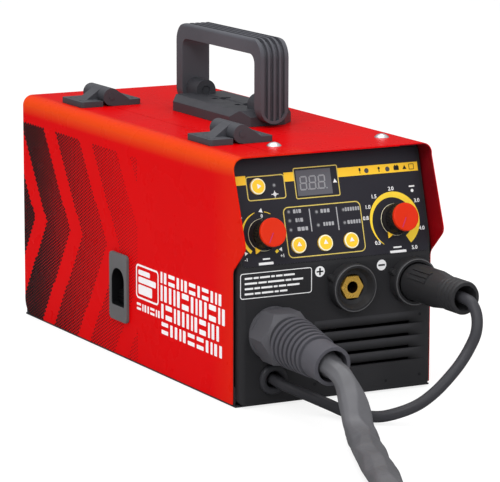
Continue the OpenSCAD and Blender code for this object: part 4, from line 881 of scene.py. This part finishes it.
# arrows and dots: place, radius, sides and the way they point
panelMarks = {"round": [(-62.4, 153.4, 2.2, 3, 75), (-80.0, 122.4, 1.9, 3, 120), (-49.0, 123.2, 1.9, 3, 60),
                        (6.9, 170.9, 2.1, 3, 90), (-81.4, 152.4, 1.2, 3, 75), (-48.0, 165.0, 1.5, 20, 0),
                        (76, 158.6, 1.3, 24, 0)],
              "dashes": [(-70, -57, 113.6, 1.0, 0.5), (-66, -59.5, 117.0, 0.6, 0.3),
                         (48.5, 63.5, 112.9, 1.0, 0.5), (52, 59.5, 116.2, 0.6, 0.3)],
              "slabs": [(-51.0, -45.0, 164.7, 165.3, 0.1), (-48.3, -47.7, 162.4, 167.6, 0.1),
                        (-83.6, -79.6, 149.2, 149.8, 0.1), (73.4, 78.6, 161.4, 162.6, 0.4)]}
pictograms = {"round": [(48.0, 177.9, 1.0, 20, 0), (71.6, 176.6, 2.2, 3, 90)],
              "slabs": [(47.6, 48.4, 174.9, 177.6, 0.2), (29.6, 31.2, 176.8, 179.3, 0.3),
                        (30.1, 30.7, 174.9, 177.0, 0.2), (61.6, 66.4, 175.3, 178.6, 0.6),
                        (62.4, 63.6, 178.4, 179.4, 0.2), (64.4, 65.6, 178.4, 179.4, 0.2)],
              "frame": (75.6, 80.4, 174.9, 179.4, 0.6, 0.5)}


def rounds(rows):
    return [disc(x, up(z), radius, sides, turn=turn) for x, z, radius, sides, turn in rows]


def rightInner(t):
    a = rightArc
    swell = a["swell"] * min(t / a["swellBy"], 1) ** a["bow"]
    return a["outer"] - a["thin"] - swell - a["tail"] * max(t - a["swellBy"], 0) / (1 - a["swellBy"])


def leftInner(t):
    return leftArc["outer"] - leftArc["thin"] - leftArc["swell"] * (1 - t) ** leftArc["bow"]


def frameLine(x0, x1, z0, z1, corner, width):
    return border(x0, x1, up(z0), up(z1), corner, width)


sheetPlace = slopeFrame(off=lift["sheet"])
yellowParts = [slab(*span, *strip["z"]) for span in strip["spans"]]
gather("yellowStrip", yellowParts, sheetPlace, "printYellow", "button_yellow")
gather("panelOutlines", [frameLine(*span, boxes["line"]) for span in boxes["spans"]],
       slopeFrame(off=lift["outlines"]), "printOutline", "button_yellow")

arcs = [sweepBand(rightArc["centre"], rightInner, rightArc["outer"], *rightArc["span"]),
        sweepBand(leftArc["centre"], leftInner, leftArc["outer"], *leftArc["span"])]
for width, *span in leftArc["rest"]:
    reach = leftArc["outer"] - width
    arcs.append(sweepBand(leftArc["centre"], lambda t: reach, leftArc["outer"], *span))
gather("dialArcs", arcs, sheetPlace, "printLemon", "button_yellow")

numbers = many(words, dialNumbers) + rounds(panelMarks["round"])
numbers += many(dash, panelMarks["dashes"]) + many(slab, panelMarks["slabs"])
gather("panelNumbers", numbers, sheetPlace, "printWhite", "printed_overlay")

names = []
for x, z, widths in marks["names"]:
    for w in widths:
        names.append(dash(x, x + w, z, marks["half"], marks["corner"]))
        x += w + marks["gap"]
gather("modeNames", names, sheetPlace, "printPale", "printed_overlay")
gather("modeDividers", many(slab, marks["dividers"]), sheetPlace, "printPale", "printed_overlay")

pictures = rounds(pictograms["round"]) + many(slab, pictograms["slabs"])
pictures.append(frameLine(*pictograms["frame"]))
gather("stripPictograms", pictures, slopeFrame(off=lift["pictograms"]), "printBlackAndHoleShade", "printed_overlay")

lenses = [disc(x, up(z), *lights["lens"]) for x, z in lights["places"]]
lenses += [disc(x, up(z), *lights["stripLens"]) for x, z in lights["onStrip"]]
gather("lampLenses", lenses, sheetPlace, "printGrey", "printed_overlay")
eyes = [disc(x, up(z), *lights["eye"]) for x, z in lights["places"] + lights["onStrip"]]
gather("lampEyes", eyes, sheetPlace, "digitGrey", "printed_overlay")

print("window, knobs and buttons")

windowSet = {"face": (-27.5, 3.7, 10.2), "z": 171.6, "corner": 0.4}
digit = {"count": 3, "first": -21.6, "pitch": 8.2, "drop": 0.2, "wide": 5.4, "high": 10.2, "stroke": 1.15,
         "lean": 5, "gap": 0.25, "rounding": 0.42, "point": (1.5, 0.55),
         "bars": [(0, 0.5, 0), (0, 0, 0), (0, -0.5, 0), (-0.5, 0.25, 1), (0.5, 0.25, 1), (-0.5, -0.25, 1),
                  (0.5, -0.25, 1)]}
# sections are (radius, height) pairs from the leaning face outwards
knob = {"places": {"voltage": (-63.5, 135.2), "current": (56.5, 137.5)}, "ribs": 60, "ribDepth": 0.38,
        "ribZone": (5.2, 16.6), "ribFrom": 5,
        "grip": [(12.6, 1.0), (12.6, 3.0), (12.1, 3.6), (11.55, 5.0), (11.4, 5.4), (11.05, 16.4),
                 (10.6, 16.9)],
        "spigot": [(4.95, -11.0), (4.95, 1.2)],
        # ring: a thin cream ring at the skirt's foot, a painted highlight on its edge
        "ring": [(12.4, 0.9), (12.82, 0.9), (12.82, 1.35), (12.4, 1.4)],
        "cap": [(10.5, 16.8), (11.4, 17.15), (11.4, 18.75), (11.15, 19.28), (10.6, 19.5), (9.2, 19.46),
                (2.0, 19.16)],
        "pointsTo": 240, "pointer": (13.2, 3.6, 1.6, 1.1), "tipRound": 0.25,
        "line": (0.6, 9.4, -0.36, 0.36, 0.1, 0.2), "lineZ": 19.28}
button = {"places": {"feed": (-62.7, 171.8, 0), "left": (-33.1, 124.9, 90), "middle": (-9.3, 124.7, 90),
                     "right": (14.3, 124.7, 90)},
          "dome": [(7.4, -4.5), (7.4, -3.35), (6.4, -3.3), (6.4, 1.5), (6.15, 2.05), (5.5, 2.38),
                   (4.8, 2.4), (1.5, 2.4)],
          "rim": [(5.45, 2.15), (6.44, 1.65), (6.46, 1.95), (6.2, 2.35), (5.65, 2.5), (5.42, 2.46)],
          "arrow": (0.35, 2.35, 0.25, 2.32)}


def digitShape(x, s, d):
    # seven bars and a point
    w, h, stroke = d["wide"], d["high"], d["stroke"]
    items = []
    for across, above, upright in d["bars"]:
        half = (h / 2 if upright else w) / 2 - d["gap"]
        bar = block(-half, half, -stroke / 2, stroke / 2, stroke * d["rounding"])
        bar.rotation_euler.z = math.radians(90 * upright)
        lean = above * h * math.tan(math.radians(d["lean"]))
        bar.location = ((x + across * w + lean) * mm, (s + above * h) * mm, 0)
        items.append(bar)
    away, share = d["point"]
    return items + [disc(x + w / 2 + away, s - h / 2, stroke * share, 12)]


def turned(profile, sides, closed=False):
    # a section carried round the local Z axis: a solid, or a ring whose section closes on itself
    clearAll()
    r, z = profile[0]
    fill = "NOTHING" if closed else "NGON"
    bpy.ops.mesh.primitive_circle_add(vertices=sides, radius=r * mm, fill_type=fill, location=(0, 0, z * mm))
    shape = bpy.context.object
    settle(shape)
    editAll()
    for nr, nz in profile[1:] + (profile[:1] if closed else []):
        bpy.ops.mesh.extrude_region_move(TRANSFORM_OT_translate={"value": (0, 0, (nz - z) * mm)})
        bpy.ops.transform.resize(value=(nr / r, nr / r, 1), center_override=(0, 0, nz * mm))
        r, z = nr, nz
    if closed:
        bpy.ops.mesh.select_all(action="SELECT")
        bpy.ops.mesh.remove_doubles(threshold=1e-6)
    facesOut()
    return shape


def arrow(turn, away, size, depth, height):
    # a three-sided mark that stands off an axis and points away from it
    a = math.radians(turn)
    shape = disc(away * math.cos(a), away * math.sin(a), size, 3, depth, turn)
    shape.location.z = height * mm
    return shape


def ribbedGrip(k):
    # the grip: every third line of points round it is pushed in
    grip = turned(k["grip"], k["ribs"] * 3)
    low, high = k["ribZone"]
    for v in grip.data.vertices:
        far = math.hypot(v.co.x, v.co.y) / mm
        if low < v.co.z / mm < high and far > k["ribFrom"]:
            line = int(round(math.degrees(math.atan2(v.co.y, v.co.x)) / (120 / k["ribs"])))
            if line % 3 == 0:
                v.co.x, v.co.y = (c * (1 - k["ribDepth"] / far) for c in v.co.xy)
    return grip


digits = []
for k in range(digit["count"]):
    digits += digitShape(digit["first"] + k * digit["pitch"], up(windowSet["z"]) - digit["drop"], digit)
gather("displayDigits", digits, slopeFrame(off=lift["digits"]), "digitGrey", "window_plastic")
x0, x1, half = windowSet["face"]
screen = dash(x0, x1, windowSet["z"], half, windowSet["corner"])
gather("displayFace", [screen], sheetPlace, "windowPlastic", "window_plastic")

for key, (kx, kz) in knob["places"].items():
    where, body = slopeFrame(kx, up(kz)), key + "_dial"
    grip = gather(key + "Grip", [ribbedGrip(knob)], where, "knobPlastic", "knob_black", body)
    gather(key + "Spigot", [turned(knob["spigot"], 32)], where, "knobPlastic", "knob_black", body)
    # painted highlight: the cream ring along the lower edge of the skirt
    gather(key + "EdgeHighlight", [turned(knob["ring"], 96, closed=True)], where, "creamPrintAndHighlight", "button_yellow", body)
    tip = arrow(knob["pointsTo"], *knob["pointer"])
    roundEdges(gather(key + "Pointer", [tip], where, "printYellow", "button_yellow", body), knob["tipRound"])
    cap = gather(key + "Cap", [turned(knob["cap"], 96)], where, "capPlastic", "cap_red", body)
    line = block(*knob["line"])
    line.rotation_euler.z = math.radians(knob["pointsTo"])
    line.location.z = knob["lineZ"] * mm
    gather(key + "CapLine", [line], where, "pinkInk", "cap_red", body)
    evenShade(grip, 30)
    evenShade(cap, 30)
    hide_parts(key + "_knob")
    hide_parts(key + "_knob_cap")

for key, (bx, bz, turn) in button["places"].items():
    where, body = slopeFrame(bx, up(bz)), key + "_key"
    dome = gather(key + "Button", [turned(button["dome"], 64)], where, "buttonRubber", "button_yellow", body)
    rim = turned(button["rim"], 64, closed=True)
    gather(key + "ButtonRim", [rim], where, "creamPrintAndHighlight", "button_yellow", body)
    mark = arrow(turn, *button["arrow"])
    gather(key + "ButtonArrow", [mark], where, "printWhite", "button_yellow", body)
    evenShade(dome, 30)
    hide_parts("feed_button" if key == "feed" else key + "_mode_button")

print("lower face and door prints")

label = {"box": (-87.0, -23.3, 87.2, 107.6, 2.2, 0.6), "left": -83.0, "length": 54, "firstZ": 103.4,
         "pitch": 4.1, "half": 0.75, "gap": 1.1, "corner": 0.375,
         "rows": [(0.82, 6), (0.96, 5), (0.9, 6), (0.7, 5)], "words": [0.15, 0.1, 0.2, 0.07, 0.13, 0.22]}
signs = {"discs": [(-16.1, 103.3, 4.3, 40), (40.1, 103.5, 4.3, 40)],
         "bars": [(-19.1, -13.1, 102.7, 103.9), (-16.85, -15.35, 100.4, 106.2), (37.1, 43.1, 102.8, 104.2)]}
# one row of bars: its ends, its two heights, the rounding of its corners and its kinds of bars in order
doorBars = {"rows": [(74, 181, 77.5, 86.8, 0.425, "HEIHEIEIH"), (74, 187, 62.6, 75.8, 0.675, "HIHEIHIEH"),
                     (75, 177, 48.2, 60.4, 0.625, "IEHIIHEHI"), (75.5, 182, 35.6, 45.4, 0.475, "EIIHEEIHI"),
                     (29.5, 72, 47.4, 53.4, 0.475, "EHIEH")],
            "widths": {"I": 1.0, "H": 2.6, "E": 2.8}, "gap": 0.95,
            "frame": (28.2, 70.0, 57.2, 86.0, 4.0, 1.6),
            "panels": [(32.7, 58.0, 61.2, 69.2, 1.4), (32.7, 65.0, 70.8, 75.8, 1.4),
                       (32.7, 54.0, 77.4, 81.6, 1.4)]}


def labelRow(length, count, z):
    # a row of blocks that keeps the weight of a printed line
    shares, x, items = label["words"][:count], label["left"], []
    scale = (length - label["gap"] * (count - 1)) / sum(shares)
    for share in shares:
        w = share * scale
        items.append(block(x, x + w, z - label["half"], z + label["half"], label["corner"]))
        x += w + label["gap"]
    return items


def plainRow(start, end, low, high, edge, order):
    # bars that keep the weight of a printed line: I is one upright, H a pair, E a pair laid level
    widths, gap = doorBars["widths"], doorBars["gap"]
    unit = (end - start) / (sum(widths[c] for c in order) + gap * (len(order) - 1))
    third = (high - low) / 3
    items, x = [], start
    for c in order:
        w = widths[c] * unit
        shapes = {"I": [(x, x + w, low, high)],
                  "H": [(x, x + w * 0.3, low, high), (x + w * 0.58, x + w, low, high)],
                  "E": [(x, x + w, low, low + third), (x, x + w, high - third, high)]}[c]
        items += [block(*shape, edge) for shape in shapes]
        x += w + gap * unit
    return items


labelItems = [border(*label["box"])]
for k, (share, count) in enumerate(label["rows"]):
    labelItems += labelRow(label["length"] * share, count, label["firstZ"] - k * label["pitch"])
gather("plainLabel", labelItems, frontFrame(), "printWhite", "printed_overlay")
gather("signDiscs", many(disc, signs["discs"]), frontFrame(), "printWhite", "printed_overlay")
signPlace = frontFrame(off=lift["signs"])
gather("signBars", many(block, signs["bars"]), signPlace, "printBlackAndHoleShade", "printed_overlay")

doorItems = []
for row in doorBars["rows"]:
    doorItems += plainRow(*row)
doorItems += [border(*doorBars["frame"])] + many(block, doorBars["panels"])
doorPlace = standing((0, -1, 0), (0, 0, 1), (-1, 0, 0), (face["side"] - lift["front"], 0, 0))
gather("doorBars", doorItems, doorPlace, "printWhite", "red_paint", "door")

# the screw holes are drawn as flat black discs of painted shade
print("windings, rims and screw heads")

# where the second finishes lie: coil has its limits in x, y and z, the rest are single limits and axes
inner = {"coil": ((21.5, 56.5), (38.5, 67.5), (28.0, 57.2)), "winding": (-77, -34), "reelAxis": (75, 100),
         "windingReach": (24, 44.0), "motor": -21.9, "guideY": -148.5, "guideAxis": (-58, 58),
         "guideReach": 5.2, "bezelWell": -89.0, "slideWell": -88.6}
rims = {"places": (11.0, 67.0), "z": 89.0,
        "section": [(18.0, 9.92), (18.15, 10.2), (18.75, 9.95), (18.7, 9.4)]}
screwHoles = [(45.0, 8.6, 1.3, 20), (-20.3, 12.9, 1.3, 20), (76.2, 60.3, 1.3, 20), (76.4, 10.8, 1.3, 20)]


def onWinding(c, n):
    ry, rz = inner["reelAxis"]
    low, high = inner["windingReach"]
    x0, x1 = inner["winding"]
    return x0 < c.x < x1 and low < math.hypot(c.y - ry, c.z - rz) < high and abs(n.x) < 0.5


def onGuide(c, n):
    gx, gz = inner["guideAxis"]
    return c.y < inner["guideY"] and math.hypot(c.x - gx, c.z - gz) < inner["guideReach"]


paintWhere(pieces["wire_spool"], "reelWinding", onWinding)
paintWhere(pieces["transformer"], "copperWinding",
           lambda c, n: all(low < v < high for v, (low, high) in zip(c, inner["coil"])))
paintWhere(pieces["feed_gearmotor"], "steelMetal", lambda c, n: c.x > inner["motor"])
paintWhere(pieces["feed_gearmotor"], "brassMetal", onGuide)
paintWhere(pieces["latch_bezel"], "wellShade", lambda c, n: c.x > inner["bezelWell"])
paintWhere(pieces["latch_slide"], "wellShade", lambda c, n: c.x > inner["slideWell"])

# painted highlight: a thin pale ring along each socket collar's outer edge
rings = []
for x in rims["places"]:
    rings.append(turned(rims["section"], 96, closed=True))
    rings[-1].location.x = x * mm
evenShade(gather("socketRimHighlights", rings, frontFrame(rims["z"], 0), "rimHighlightPlastic", "black_moulding"), 40)
# painted shade: black discs stand in for the dark inside of the screw holes
gather("screwHoleShade", many(disc, screwHoles), frontFrame(), "printBlackAndHoleShade", "black_moulding")

print("what rides on what")

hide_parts("torch_cable", "torch_cable_coil")
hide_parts("polarity_lead")
paint(torchCable, "cableSleeve")
paint(polarityLead, "leadRubber")
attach(torchCable, "case")
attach(polarityLead, "case")
